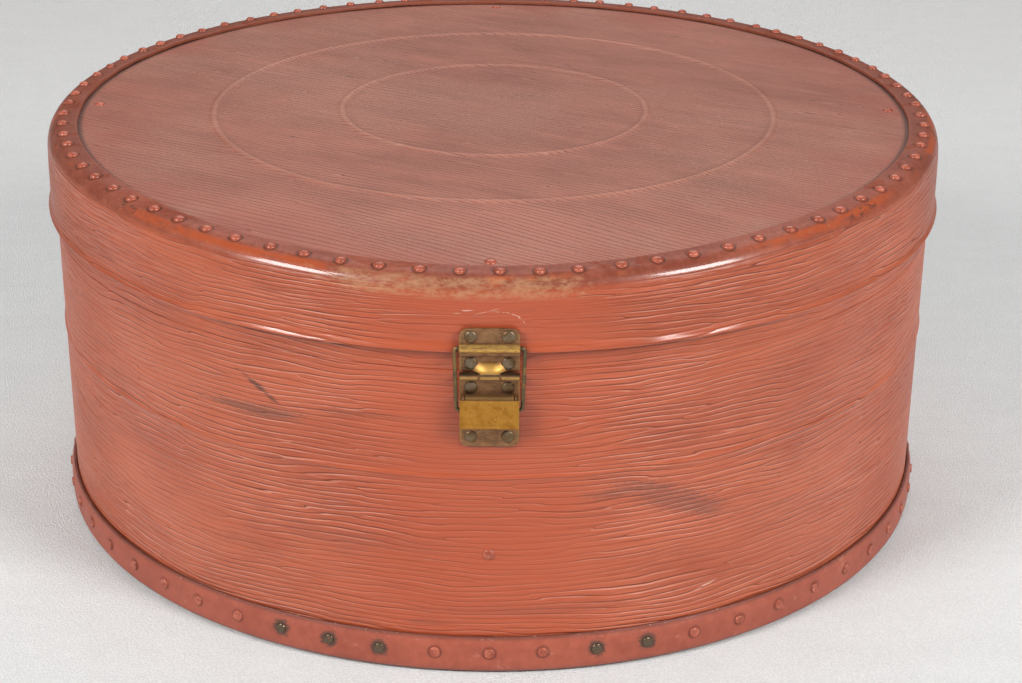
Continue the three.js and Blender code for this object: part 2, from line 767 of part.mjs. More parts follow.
// A leaf cut from a ring that follows the wall, joined to its straight knuckles
function hingeLeaf(profile, webBottom, webTop, middle, knuckles) {
  const ring = revolve(closed(profile));
  const bottom = Math.min(...profile.map(([, height]) => height));
  const top = Math.max(...profile.map(([, height]) => height));
  const reach = hingeWidth + cutOverrun;
  const blank = roundedBlank(hingeWidth, bottom, top, bottom < bodyHeight, top > bodyHeight)
    .translate(0, 0, middle);
  const sheet = common(ring, onWall(blank, hingeBack));
  const clearWall = revolve([
    [0, webBottom - reach], [wallRadius + seatGap, webBottom - reach],
    [wallRadius + seatGap, webTop + reach], [0, webTop + reach],
  ]);
  const solids = knuckles.map(([from, to]) => {
    const place = middle + (from + to) / 2;
    const web = barOf(rectangle(-barrelRadius * 2, webBottom, hingeProud, webTop), to - from, place);
    const barrel = rodAlong(barrelRadius, to - from, place).translate(hingeProud, bodyHeight, 0);
    return cut(onWall(join(web, barrel), hingeBack), [clearWall]);
  });
  const bore = rodAlong(pinRadius + seatGap, hingeWidth * 2, middle).translate(hingeProud, bodyHeight, 0);
  return cut(join(sheet, ...solids), [
    onWall(bore, hingeBack),
    ...hingeRivetAngles.flatMap((angle) => [hingeHole(angle, hingeBodyRivetHeight),
      hingeHole(angle, hingeLidRivetHeight)]),
  ]);
}

const knuckleLength = (hingeWidth - 2 * seatGap) / 3;
const knuckleAt = (i) => {
  const from = -hingeWidth / 2 + i * (knuckleLength + seatGap);
  return [from, from + knuckleLength];
};

function bodyLeaf(middle) {
  const profile = [
    [wallRadius + plateBackLow, hingeLeafBottom],
    [wallRadius + plateFaceLow, hingeLeafBottom],
    [wallRadius + plateFaceLow, baseTop],
    [wallRadius + plateBackLow, baseTop],
  ];
  return hingeLeaf(profile, bodyHeight - barrelRadius, baseTop, middle, [knuckleAt(0), knuckleAt(2)]);
}

function lidLeaf(middle) {
  const profile = [
    [wallRadius + plateBackLow, bodyHeight + seatGap],
    [wallRadius + plateFaceLow, bodyHeight + seatGap],
    [wallRadius + plateFaceLow, shoulderHeight - seatGap - jogDrop],
    [wallRadius + plateFaceHigh, swellHeight - seatGap - jogDrop],
    [wallRadius + plateFaceHigh, hingeLeafTop],
    [wallRadius + plateBackHigh, hingeLeafTop],
    [wallRadius + plateBackHigh, swellHeight - seatGap],
    [wallRadius + plateBackLow, shoulderHeight - seatGap],
  ];
  return hingeLeaf(profile, bodyHeight + seatGap, bodyHeight + barrelRadius, middle, [knuckleAt(1)]);
}

function hingePin(middle) {
  const pin = rodAlong(pinRadius, hingeWidth, middle).translate(hingeProud, bodyHeight, 0);
  return onWall(pin, hingeBack);
}

const hingeBodyRivet = (angle) => hingeRivet(angle, hingeBodyRivetHeight, plateBackLow,
  plateBackLow + plateThickness + seatGap + wallDepth);
const hingeLidRivet = (angle) => hingeRivet(angle, hingeLidRivetHeight, plateBackHigh,
  plateBackLow + plateThickness + seatGap + bandThickness);

// Assembly: the lid hangs in a group at its hinge line, the loop and the lever in groups at theirs

const hatbox = new THREE.Group();
const body = new THREE.Group();
const lid = new THREE.Group();
const lidPieces = new THREE.Group();
hatbox.add(body, lid);
lid.position.copy(lidPivot);
lidPieces.position.copy(lidPivot).negate();
lid.add(lidPieces);

const onFront = () => {
  const group = new THREE.Group();
  group.applyMatrix4(wallFrame(0));
  return group;
};

body.add(
  piece('bottom_dish', bottomDish(), smoothFibre),
  piece('body_wall', bodyWall(), grainedFibre),
  piece('mouth_collar', mouthCollar(), smoothFibre),
  piece('floor_lining', floorLining(), liningBoard),
  piece('wall_lining', wallLining(), liningBoard),
);

lidPieces.add(
  piece('lid_band', lidBand(), grainedFibre),
  piece('lid_panel', lidPanel(), grainedFibre),
  piece('lid_lining', lidLining(), liningBoard),
);

quarterNames.forEach((quarter, i) => {
  const angle = quarterAngles[i];
  body.add(
    piece(`wall_rivet_${quarter}`, wallQuarterRivet(angle), paintedRivet),
    piece(`wall_washer_${quarter}`, wallQuarterWasher(angle), darkRivet),
  );
  lidPieces.add(
    piece(`panel_rivet_${quarter}`, panelQuarterRivet(angle), paintedRivet),
    piece(`panel_washer_${quarter}`, panelQuarterWasher(angle), darkRivet),
  );
});

const bodyFront = onFront();
body.add(bodyFront);
bodyFront.add(piece('latch_base_plate', basePlate(), brass));
['upper_right', 'lower_right', 'upper_left', 'lower_left'].forEach((place, i) => {
  bodyFront.add(piece(`latch_base_rivet_${place}`, latchRivet(baseRivets[i], wallDepth), darkRivet));
});

const leverPivot = new THREE.Group();
leverPivot.position.set(leverAxisProud, leverAxisHeight, 0);
leverPivot.add(piece('latch_lever', lever(), brass));
const leverPin = piece('latch_lever_pin', rodAlong(pinRadius, leverPinLength), brass);
leverPin.position.copy(leverPivot.position);
bodyFront.add(leverPivot, leverPin);

const lidFront = onFront();
lidPieces.add(lidFront);
lidFront.add(piece('latch_strike_plate', strikePlate(), brass));
['upper_right', 'lower_right', 'upper_left', 'lower_left'].forEach((place, i) => {
  const rivetAt = strikeRivets[i];
  lidFront.add(piece(`latch_strike_rivet_${place}`, latchRivet(rivetAt, strikeDepth(rivetAt)), darkRivet));
});

const loopPivot = new THREE.Group();
loopPivot.position.set(loopAxisProud, loopAxisHeight, 0);
loopPivot.add(piece('latch_wire_loop', wireLoop(), brass));
lidFront.add(loopPivot);

['left', 'right'].forEach((side, i) => {
  const middle = hingeMiddles[i];
  body.add(
    piece(`${side}_hinge_body_leaf`, bodyLeaf(middle), brass),
    piece(`${side}_hinge_pin`, hingePin(middle), brass),
  );
  lidPieces.add(piece(`${side}_hinge_lid_leaf`, lidLeaf(middle), brass));
  hingeRivetAnglesAt(middle).forEach((angle, j) => {
    const end = ['left', 'right'][j];
    body.add(piece(`${side}_hinge_body_rivet_${end}`, hingeBodyRivet(angle), darkRivet));
    lidPieces.add(piece(`${side}_hinge_lid_rivet_${end}`, hingeLidRivet(angle), darkRivet));
  });
});

export default hatbox;
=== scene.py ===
import math
import bmesh
import bpy
import numpy as np
from mathutils import Matrix, Vector


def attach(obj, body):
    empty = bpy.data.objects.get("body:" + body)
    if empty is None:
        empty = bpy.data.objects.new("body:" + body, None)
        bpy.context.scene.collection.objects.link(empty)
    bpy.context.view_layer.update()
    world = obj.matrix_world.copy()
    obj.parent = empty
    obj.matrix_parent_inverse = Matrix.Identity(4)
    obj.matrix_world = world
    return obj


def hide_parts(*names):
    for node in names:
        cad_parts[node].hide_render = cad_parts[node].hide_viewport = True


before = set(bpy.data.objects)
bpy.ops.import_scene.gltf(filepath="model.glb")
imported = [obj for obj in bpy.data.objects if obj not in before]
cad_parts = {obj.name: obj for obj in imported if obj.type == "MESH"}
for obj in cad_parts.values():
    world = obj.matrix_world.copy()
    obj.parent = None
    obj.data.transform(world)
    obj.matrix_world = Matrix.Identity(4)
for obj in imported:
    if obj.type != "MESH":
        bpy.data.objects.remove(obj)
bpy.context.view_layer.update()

# View
# A long lens stands about a metre in front of the box and half a metre up, and looks down on the
# latch, the front of the lid and the whole of the round top.

stand = Vector((0.0056, -0.9944, 0.4953))
look_aside, look_down, lean = 0.0038, 0.40993, 0.00905
ahead = Vector((math.sin(look_aside) * math.cos(look_down), math.cos(look_aside) * math.cos(look_down),
                -math.sin(look_down)))
level = Vector((math.cos(look_aside), -math.sin(look_aside), 0))
upward = level.cross(ahead)
across = math.cos(lean) * level + math.sin(lean) * upward
upright = math.cos(lean) * upward - math.sin(lean) * level
lens = bpy.data.cameras.new("view")
lens.lens = 74.417
lens.sensor_width = 36
camera = bpy.data.objects.new("view", lens)
camera.matrix_world = Matrix.Translation(stand) @ Matrix((across, upright, -ahead)).transposed().to_4x4()
bpy.context.scene.collection.objects.link(camera)
bpy.context.scene.camera = camera
bpy.context.scene.view_settings.view_transform = "Standard"


# Table and light
# The box stands on a pale cloth that runs on behind it. Two soft lamps stand in front, one on each
# side, with a third high up behind, and the pale room fills in the rest.

class Wire:
    """A node's output in a tree. Sums on it add the nodes that work them out."""

    def __init__(self, tree, socket=None):
        self.tree = tree
        self.socket = socket

    def add(self, kind, settings=(), sockets=(), out=0):
        """Adds a node, with its settings first and then a wire or a value in each of its sockets."""
        node = self.tree.nodes.new(kind)
        for name, value in dict(settings).items():
            setattr(node, name, value)
        for name, value in dict(sockets).items():
            if isinstance(value, Wire):
                self.tree.links.new(value.socket, node.inputs[name])
            else:
                node.inputs[name].default_value = value
        return Wire(self.tree, node.outputs[out] if len(node.outputs) else None)

    def work(self, operation, *values):
        """One Math node, or one Vector Math node where a vector or a colour comes in."""
        vector = any(isinstance(v, tuple) or isinstance(v, Wire) and v.socket.type in ("VECTOR", "RGBA")
                     for v in values)
        if vector:
            values = [v if isinstance(v, (Wire, tuple)) else (v, v, v) for v in values]
        kind = "ShaderNodeVectorMath" if vector else "ShaderNodeMath"
        return self.add(kind, {"operation": operation}, dict(enumerate(values)))

    def __add__(self, other):
        return self.work("ADD", self, other)

    __radd__ = __add__

    def __sub__(self, other):
        return self.work("SUBTRACT", self, other)

    def __rsub__(self, other):
        return self.work("SUBTRACT", other, self)

    def __mul__(self, other):
        return self.work("MULTIPLY", self, other)

    __rmul__ = __mul__

    def __truediv__(self, other):
        return self.work("DIVIDE", self, other)

    def __rtruediv__(self, other):
        return self.work("DIVIDE", other, self)

    def __pow__(self, other):
        return self.work("POWER", self, other)

    def at_least(self, other):
        """The larger of the two."""
        return self.work("MAXIMUM", self, other)

    def at_most(self, other):
        """The smaller of the two."""
        return self.work("MINIMUM", self, other)

    def size(self):
        """How large it is, whatever its sign."""
        return self.work("ABSOLUTE", self)

    def cosine(self):
        """The cosine of an angle in radians."""
        return self.work("COSINE", self)

    def eased(self, low, high):
        """0 at low and 1 at high, with a smooth run between them."""
        return self.add("ShaderNodeMapRange", {"interpolation_type": "SMOOTHSTEP"}, {0: self, 1: low, 2: high})

    def between(self, first, second):
        """The first colour where this is 0 and the second where it is 1."""
        return self.add("ShaderNodeMix", {"data_type": "RGBA"}, {0: self, 6: first, 7: second}, 2)

    def toned(self, share, red, green, blue):
        """This colour, with a share of another laid over it."""
        return share.between(self, shade(red, green, blue))

    def parts(self):
        """The three parts of a vector."""
        split = self.add("ShaderNodeSeparateXYZ", {}, {0: self}).socket.node
        return [Wire(self.tree, out) for out in split.outputs]

    def cloud(self, detail=2.0, roughness=0.5, out=0):
        """Soft noise at this place, one unit across."""
        return self.add("ShaderNodeTexNoise", {}, {"Vector": self, "Scale": 1.0, "Detail": detail,
                                                   "Roughness": roughness}, out)


def shade(red, green, blue):
    """A colour as it shows on a screen, from 0 to 255, turned to the light that it stands for."""
    return tuple((c / 255 / 12.92 if c < 11 else ((c / 255 + 0.055) / 1.055) ** 2.4)
                 for c in (red, green, blue)) + (1,)


def new_finish(name, unbent=False):
    """A new material, and the place on the piece in millimetres, or its place before the lid was bent."""
    material = bpy.data.materials.new(name)
    material.use_nodes = True
    tree = Wire(material.node_tree)
    if unbent:
        return material, tree.add("ShaderNodeAttribute", {"attribute_name": "unbent"}, {}, "Vector") * 1000
    return material, tree.add("ShaderNodeTexCoord", out="Object") * 1000


def set_finish(material, values):
    """Links each wire to the shader's socket, and sets each plain value on it."""
    shader = material.node_tree.nodes["Principled BSDF"]
    for name, value in values.items():
        if isinstance(value, Wire):
            material.node_tree.links.new(value.socket, shader.inputs[name])
        else:
            shader.inputs[name].default_value = value
    return material


def relief(height, depth=1.0):
    """The normal of a surface whose height is in millimetres."""
    return height.add("ShaderNodeBump", {}, {"Strength": depth, "Distance": 0.001, "Height": height})


cloth_half = 4.0
cloth_mesh = bpy.data.meshes.new("table_cloth")
cloth_corners = ((-1, -1), (1, -1), (1, 1), (-1, 1))
cloth_mesh.from_pydata([(x * cloth_half, y * cloth_half, -0.0002) for x, y in cloth_corners],
                       [], [(0, 1, 2, 3)])
table_cloth = bpy.data.objects.new("table_cloth", cloth_mesh)
bpy.context.scene.collection.objects.link(table_cloth)
cloth, place = new_finish("pale cloth")
weave = place.cloud(3, 0.7).eased(0.3, 0.7)
thread = weave * 0.6 + (place * (0.02, 0.05, 0.1)).cloud(4, 0.6) * 0.4
far_off = place.parts()[1].eased(-300, 900)
# Each lamp lights a pool of the cloth beside and in front of the box, and the cloth is painted
# darker there, a painted shade that holds the pools down.
along = (place.parts()[1] + 850) * 0.001
to_left, to_right = (place.parts()[0] + 1000) * 0.001, (place.parts()[0] - 1000) * 0.001
under_left = (to_left * to_left + along * along).eased(1.15, 0.2)
under_right = (to_right * to_right + along * along).eased(1.15, 0.2)
lamp_pool_shade = (under_left + under_right).at_most(1)
near_tone = thread.between(shade(218, 222, 222), shade(246, 249, 249))
near_tone = lamp_pool_shade.between(near_tone, shade(172, 172, 172))
set_finish(cloth, {
    "Base Color": far_off.between(near_tone, thread.between(shade(218, 217, 216), shade(236, 235, 234))),
    "Roughness": 0.9, "Specular IOR Level": 0.1,
    "Normal": relief(thread * 0.5),
})
cloth_mesh.materials.append(cloth)

room = bpy.data.worlds.new("room")
room.use_nodes = True
seen = Wire(room.node_tree).add("ShaderNodeLightPath", out="Is Camera Ray")
mirrored = Wire(room.node_tree).add("ShaderNodeLightPath", out="Is Glossy Ray")
brightness = 0.37 + seen * 0.13 - mirrored * 0.17
room.node_tree.links.new(brightness.socket, room.node_tree.nodes["Background"].inputs["Strength"])
room.node_tree.nodes["Background"].inputs["Color"].default_value = (1, 1, 1, 1)
bpy.context.scene.world = room


def soft_lamp(name, stand, aim, width, height, power):
    """A rectangular lamp on its stand, turned to face aim. Places and sizes are in metres."""
    lamp = bpy.data.lights.new(name, "AREA")
    lamp.shape = "RECTANGLE"
    lamp.size = width
    lamp.size_y = height
    lamp.energy = power
    holder = bpy.data.objects.new(name, lamp)
    turn = (Vector(aim) - Vector(stand)).to_track_quat("-Z", "Y")
    holder.matrix_world = Matrix.Translation(stand) @ turn.to_matrix().to_4x4()
    bpy.context.scene.collection.objects.link(holder)


box_middle = (0, 0, 0.1)
soft_lamp("left_lamp", (-1.25, -1.15, 1.15), box_middle, 0.6, 0.55, 25)
soft_lamp("right_lamp", (1.35, -1.15, 1.15), box_middle, 0.6, 0.55, 27)
soft_lamp("back_lamp", (0.1, 1.5, 1.7), box_middle, 1.6, 0.9, 12)


# Body wall
# One long board of vulcanised fibre, bent round and pressed with a wandering grain, then painted
# brick red. A faint raised line runs round it. Its creases are painted darker, as painted shade with
# some dirt, and the lip under each crease paler, as a painted highlight with some rubbed paint. The
# wear has gone brown and tan in places.

MM = 0.001
wall_radius = 212.6
wall_thickness = 2.0
wall_foot, wall_top = 4.5, 142.62
dish_rise = 17.8
line_height, line_half, line_proud = 93.7, 1.9, 0.8
side_turns = 320
side_row = 0.48


def eased_corner(before, here, after, ease, steps):
    """Points of the small curve that rounds one corner of a line."""
    start, end = here + (before - here).normalized() * ease, here + (after - here).normalized() * ease
    shares = [k / steps for k in range(steps + 1)]
    return [start * (1 - t) ** 2 + here * 2 * t * (1 - t) + end * t * t for t in shares]


def rounded(corners, steps=3):
    """A closed outline from (radius, height, easing) corners, each eased by a small curve."""
    points = []
    for i, (radius, height, ease) in enumerate(corners):
        here = Vector((radius, height))
        if ease == 0:
            points.append(here)
            continue
        before, after = Vector(corners[i - 1][:2]), Vector(corners[(i + 1) % len(corners)][:2])
        points += eased_corner(before, here, after, ease, steps)
    return points


def with_rows(points, row, wanted=lambda middle: True):
    """Adds rows to the stretches of an outline whose middle is wanted."""
    finer = []
    for i, here in enumerate(points):
        after = points[(i + 1) % len(points)]
        count = max(1, round((after - here).length / row)) if wanted((here + after) / 2) else 1
        finer.extend(here.lerp(after, k / count) for k in range(count))
    return finer


def new_piece(name, points, faces, smooth_below=40):
    """A mesh object from points in millimetres."""
    mesh = bpy.data.meshes.new(name)
    mesh.from_pydata([Vector(p) * MM for p in points], [], faces)
    mesh.update()
    mesh.shade_smooth()
    mesh.set_sharp_from_angle(angle=math.radians(smooth_below))
    piece = bpy.data.objects.new(name, mesh)
    bpy.context.scene.collection.objects.link(piece)
    return piece


def turned(name, outline, turns, is_closed=True, smooth_below=50):
    """A round piece from its outline, which runs up on the outside. A point at radius 0 is a pole."""
    points, rings = [], []
    for radius, height in outline:
        if radius < 1e-6:
            rings.append([len(points)] * turns)
            points.append((0, 0, height))
            continue
        rings.append(list(range(len(points), len(points) + turns)))
        for k in range(turns):
            angle = 2 * math.pi * k / turns
            points.append((radius * math.sin(angle), -radius * math.cos(angle), height))
    faces = []
    pairs = list(zip(rings, rings[1:] + (rings[:1] if is_closed else [])))
    for low, high in pairs:
        for k in range(turns):
            face = [low[k], low[(k + 1) % turns], high[(k + 1) % turns], high[k]]
            faces.append(list(dict.fromkeys(face)))
    return new_piece(name, points, [face for face in faces if len(face) > 2], smooth_below)


def from_axis(x, y):
    """The distance from the box's upright axis."""
    return (x * x + y * y) ** 0.5


def bearing(x, y):
    """The angle round the box from its front, in degrees."""
    return x.work("ARCTAN2", x, y * -1) * (180 / math.pi)


def ridges(place, across, pitch, run, spread):
    """The pressed grain: 1 on a ridge's back and 0 in a crease, and the upward lip under each crease."""
    drift = place * place.add("ShaderNodeCombineXYZ", {}, {0: 1 / run, 1: 1 / run, 2: 1 / spread})
    east, north, _ = (drift + (17.3, 4.1, 8.8)).cloud(0, out="Color").parts()
    forks = (east - 0.5).work("ARCTAN2", east - 0.5, north - 0.5)
    wander = (drift * (0.4, 0.4, 0.3)).cloud(1) * 4.1 + (drift * (1.6, 1.6, 1.2)).cloud(1) * 0.7
    phase = across / pitch + forks / (2 * math.pi) + wander
    rise = phase.work("FRACT", phase)
    return rise.eased(0, 0.16) * rise.eased(1, 0.7), rise.eased(0.7, 0.82) * rise.eased(0.99, 0.92)


def creased(grain, place):
    """The grain's fine relief in millimetres: flat backs, with a narrow crease between them."""
    wobble = (place * (0.04, 0.04, 0.5)).cloud(2).eased(0.3, 0.7)
    return grain * ridge_strength(place) * (0.06 + wobble * 0.36)


def ridge_strength(place):
    """How deep the grain is from place to place: nearly gone where the board was rubbed or pressed flat."""
    x, y, z = place.parts()
    ragged = (place * (0.014, 0.014, 0.5) + 4.4).cloud(2) * 100 - 50
    flat = ((x - 3).size() + ragged).eased(64, 22) * y.eased(0, -60)
    patchy = (place * (0.011, 0.011, 0.03) + 6.1).cloud(2).eased(0.3, 0.62) * 0.6 + 0.4
    return patchy * (1 - flat * (0.62 + z.eased(136, 156) * 0.33))


def new_tree(name, sizes):
    """A geometry tree with these named inputs, the wires from them, and its way out."""
    tree = bpy.data.node_groups.new(name, "GeometryNodeTree")
    tree.interface.new_socket("Geometry", in_out="INPUT", socket_type="NodeSocketGeometry")
    for label, value in sizes.items():
        kind = {int: "NodeSocketInt", float: "NodeSocketFloat"}.get(type(value), "NodeSocketObject")
        tree.interface.new_socket(label, in_out="INPUT", socket_type=kind).default_value = value
    tree.interface.new_socket("Material", in_out="INPUT", socket_type="NodeSocketMaterial")
    tree.interface.new_socket("Geometry", in_out="OUTPUT", socket_type="NodeSocketGeometry")
    entry = tree.nodes.new("NodeGroupInput")
    return tree, {out.name: Wire(tree, out) for out in entry.outputs if out.name}


def end_tree(tree, shape, material):
    """Makes every copy real, gives it its material and hands it on."""
    real = shape.add("GeometryNodeRealizeInstances", {}, {"Geometry": shape})
    coated = real.add("GeometryNodeSetMaterial", {}, {"Geometry": real, "Material": material})
    tree.links.new(coated.socket, tree.nodes.new("NodeGroupOutput").inputs["Geometry"])


def run_tree(piece, tree, sizes):
    """Runs a geometry tree on a piece, and keeps what comes out as the piece's own mesh."""
    growth = piece.modifiers.new(tree.name, "NODES")
    growth.node_group = tree
    for item in tree.interface.items_tree:
        if item.item_type == "SOCKET" and item.in_out == "INPUT" and item.name in sizes:
            growth[item.identifier] = sizes[item.name]
    graph = bpy.context.evaluated_depsgraph_get()
    grown = bpy.data.meshes.new_from_object(piece.evaluated_get(graph), preserve_all_data_layers=True,
                                            depsgraph=graph)
    piece.modifiers.remove(growth)
    piece.data = grown
    return piece


def patch(place, middle, reach, tilt=0.0):
    """A worn patch round a point of the front: 1 in its middle, 0 outside its ragged edge."""
    x, y, z = place.parts()
    dx, dz = x - middle[0], z - middle[1]
    along = dx * math.cos(tilt) + dz * math.sin(tilt)
    over = dz * math.cos(tilt) - dx * math.sin(tilt)
    away = ((along / reach[0]) ** 2 + (over / reach[1]) ** 2) ** 0.5
    streaks = (place * (0.06, 0.06, 1.3)).cloud(3, 0.7) - 0.5
    crumbs = (place * (0.5, 0.5, 1.0)).cloud(3, 0.7) - 0.5
    return (away + streaks * 2.6 + crumbs * 1.2).eased(1.1, 0.3) * y.eased(0, -20)


def fibre_paint(place, grain, lip):
    """Painted fibre on the sides: its colour, its roughness and its shine, which has gone from the back."""
    x, y, z = place.parts()
    broad = (place * (0.012, 0.012, 0.03)).cloud(3)
    latch_halo_shade = (x.size().eased(23, 14) * z.eased(104, 116) * z.eased(160, 146)) * y.eased(0, -60)
    fine = (place * (0.05, 0.05, 0.6)).cloud(3, 0.6)
    colour = (broad * 0.6 + fine * 0.4).eased(0.3, 0.7).between(shade(162, 74, 45), shade(188, 95, 63))
    by_latch = (x + 4).size().eased(75, 25) * y.eased(0, -60)
    colour = colour.toned(by_latch * 0.75, 174, 77, 44)
    # Painted shade: a dark halo on each side of the latch where its shadow falls, with some soiling.
    colour = colour.toned(latch_halo_shade * 0.4, 122, 52, 32)
    strength = ridge_strength(place)
    broken = (place * (0.03, 0.03, 0.5) + 2.9).cloud(3, 0.6)
    # Painted shade: each crease is painted darker where its upper flank is in shade, with some dirt lodged in
    # it.
    crease = ((1 - grain) ** 2) * (0.2 + strength * 0.8)
    colour = colour.toned(crease * broken.eased(0.3, 0.6) * 0.9, 90, 42, 30)
    # Painted highlight: the lip under each crease, which faces up to the light, is painted paler, partly as
    # rubbed paint.
    colour = colour.toned(lip * strength * broken.eased(0.35, 0.6) * 0.5, 222, 150, 126)
    soil = (place * (0.02, 0.02, 0.16)).cloud(4, 0.6).eased(0.58, 0.78)
    colour = colour.toned(soil * 0.4, 124, 70, 54)
    rubbed = (place * (0.03, 0.03, 0.3) + 7.7).cloud(4, 0.6).eased(0.6, 0.8) * grain
    colour = colour.toned(rubbed * 0.3, 198, 116, 92)
    exposed = (grain + lip).at_most(1)
    roughness = 0.34 + fine * 0.2 + soil * 0.15 + (1 - exposed) * 0.4
    return colour, roughness, exposed * (0.12 + y.eased(-100, -165) * 0.55)


def stained(colour, place, marks):
    """Lays marks of (middle, reach, tilt, strength, tone) over a colour, each in its own tone."""
    for middle, reach, tilt, strength, tone in marks:
        colour = (patch(place, middle, reach, tilt) * strength).between(colour, tone)
    return colour


press, given = new_tree("pressed grain", {
    "Depth": 0.2, "Pitch": 2.5, "Run": 40.0, "Spread": 10.0, "Skin Radius": 210.0,
    "Fade Start": 500.0, "Fade End": 600.0,
})
spot = Wire(press).add("GeometryNodeInputPosition") * 1000
x, y, z = spot.parts()
skin = from_axis(x, y).eased(given["Skin Radius"] - 0.2, given["Skin Radius"])
shown = skin * z.eased(given["Fade End"], given["Fade Start"]) * ridge_strength(spot)
hollow = 1 - ridges(spot, z, given["Pitch"], given["Run"], given["Spread"])[0]
inward = Wire(press).add("GeometryNodeInputNormal") * (hollow * shown * given["Depth"] * -MM)
end_tree(press, inward.add("GeometryNodeSetPosition", {}, {"Geometry": given["Geometry"], "Offset": inward}),
         given["Material"])

body_red, place = new_finish("brick red fibre of the body")
grain, lip = ridges(place, place.parts()[2], 2.5, 40, 10)
colour, roughness, shine = fibre_paint(place, grain, lip)
colour = stained(colour, place, [
    ((-96, 113), (26, 3.2), 0.02, 0.65, shade(116, 70, 52)),
    ((-96, 123), (12, 1.3), -0.6, 0.8, shade(84, 52, 40)),
    ((-56, 119), (24, 2.4), 0.02, 0.45, shade(126, 64, 42)),
    ((80, 76), (30, 7), -0.42, 0.55, shade(116, 66, 52)),
    ((60, 84), (22, 4), 0.05, 0.4, shade(120, 70, 55)),
    ((-60, 60), (50, 5), 0.03, 0.22, shade(130, 70, 56)),
    ((95, 31), (5, 0.7), 0.3, 0.7, shade(222, 180, 160)),
    ((20, 30), (60, 3), 0.0, 0.3, shade(128, 66, 52)),
])
set_finish(body_red, {
    "Base Color": colour,
    "Roughness": roughness,
    "Coat Weight": shine, "Coat Roughness": 0.13, "Specular IOR Level": 0.25,
    "Normal": relief(creased(grain, place) + (place * (0.3, 0.3, 2.2)).cloud(2) * 0.05),
})

wall_outline = with_rows(rounded([
    (wall_radius, wall_foot, 0.3), (wall_radius, line_height - line_half, 0.8),
    (wall_radius + line_proud, line_height, 0.8), (wall_radius, line_height + line_half, 0.8),
    (wall_radius, wall_top, 0.4), (wall_radius - wall_thickness, wall_top, 0.4),
    (wall_radius - wall_thickness, wall_foot, 0.3),
]), side_row, lambda middle: middle.x > wall_radius - 0.5 and middle.y > dish_rise - 2)
body_wall = turned("body_wall_skin", wall_outline, side_turns, smooth_below=75)
run_tree(body_wall, press, {"Depth": 0.22, "Skin Radius": wall_radius - 0.6, "Material": body_red})
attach(body_wall, "box")
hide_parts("body_wall")


# Bottom
# A smooth dish of thicker fibre that comes up outside the wall. Its cut edge is ragged and painted dark,
# for dirt and for painted shade of the gap against the wall. A row of small rivets holds it all round,
# some of them rubbed down to the metal.

dish_outer, dish_inner = 215.5, 212.9
dish_floor = 2.6
dish_rivet_height, dish_rivet_count = 10.4, 58
edge_turns = 600

wear, given = new_tree("ragged edge", {"Edge Radius": 100.0, "Edge Height": 10.0, "Reach": 3.0, "Ragged": 0.5,
                                       "Waver": 0.3})
spot = Wire(wear).add("GeometryNodeInputPosition") * 1000
x, y, z = spot.parts()
radius = from_axis(x, y)
past_edge, above_edge = radius - given["Edge Radius"], z - given["Edge Height"]
near = ((past_edge ** 2 + above_edge ** 2) ** 0.5).eased(given["Reach"], 0)
nick = ((spot * 0.35).cloud(3, 0.7) - 0.5) * given["Ragged"]
sway = ((spot * 0.05).cloud(1) - 0.5) * given["Waver"]
outward = spot.add("ShaderNodeCombineXYZ", {}, {0: x / radius, 1: y / radius, 2: 0.0})
shift = outward * (near * (nick * 0.4 + sway) * MM) + spot.add(
    "ShaderNodeCombineXYZ", {}, {2: near * (nick + sway) * MM})
end_tree(wear, shift.add("GeometryNodeSetPosition", {}, {"Geometry": given["Geometry"], "Offset": shift}),
         given["Material"])


def strays(index, seed):
    """How far a rivet of a row stands from its even place, from -1 to 1, along the row and across it."""
    dice = {"noise_dimensions": "1D"}
    east, north, _ = index.add("ShaderNodeTexWhiteNoise", dice, {"W": index + seed * 0.37}, "Color").parts()
    return east * 2 - 1, north * 2 - 1


def rivet_ring(place, row_radius, count, along, height, first, seed, astray):
    """Distance in millimetres from the nearest rivet of a row, measured on the face that carries it."""
    x, y, z = place.parts()
    step = x.work("ARCTAN2", x, y * -1) * count / (2 * math.pi) - first + 0.5
    index = step.work("FLOOR", step)
    sideways, lift = strays(index.work("FLOORED_MODULO", index, count), seed)
    aside = (step - index - 0.5) * (2 * math.pi * row_radius / count) - sideways * astray * 2
    return (aside * aside + (along - height - lift * astray) ** 2) ** 0.5


flange_red, place = new_finish("smooth red fibre of the bottom")
x, y, z = place.parts()
radius = from_axis(x, y)
streak = (place * (0.2, 0.2, 0.2) + 3.1).cloud(4, 0.6)
broad = (place * 0.02).cloud(3)
colour = (streak * 0.5 + broad * 0.5).eased(0.35, 0.65).between(shade(152, 72, 52), shade(170, 86, 64))
# Darker along the cut edge: dirt, with painted shade of the narrow gap against the wall.
colour = colour.toned(z.eased(15.6, 18.2) * (0.5 + streak * 0.5), 74, 42, 34)
colour = colour.toned(z.eased(2.4, 0.3) * 0.7, 110, 70, 56)
ring = rivet_ring(place, dish_outer, dish_rivet_count, z, dish_rivet_height, 0, 4, 0.45)
colour = colour.toned(ring.eased(3.7, 2.9) * 0.5, 96, 48, 36)
crumbs = (place * (0.5, 0.5, 1.0)).cloud(4, 0.75)
angle = bearing(x, y)
by_bare = (angle + 18.6).size().eased(10, 8.5) + (angle - 15.5).size().eased(6, 5)
spread_stain = (ring + (crumbs - 0.5) * 9).eased(4.6, 3.2) * by_bare
colour = colour.toned(spread_stain * 0.8, 76, 58, 46)
worn = (place * 0.1 + 9.2).cloud(4, 0.7).eased(0.62, 0.72)
colour = colour.toned(worn * 0.4, 204, 136, 112)
chipped = z.eased(14.6, 17.0) * crumbs.eased(0.6, 0.7)
colour = colour.toned(chipped * 0.6, 206, 160, 140)
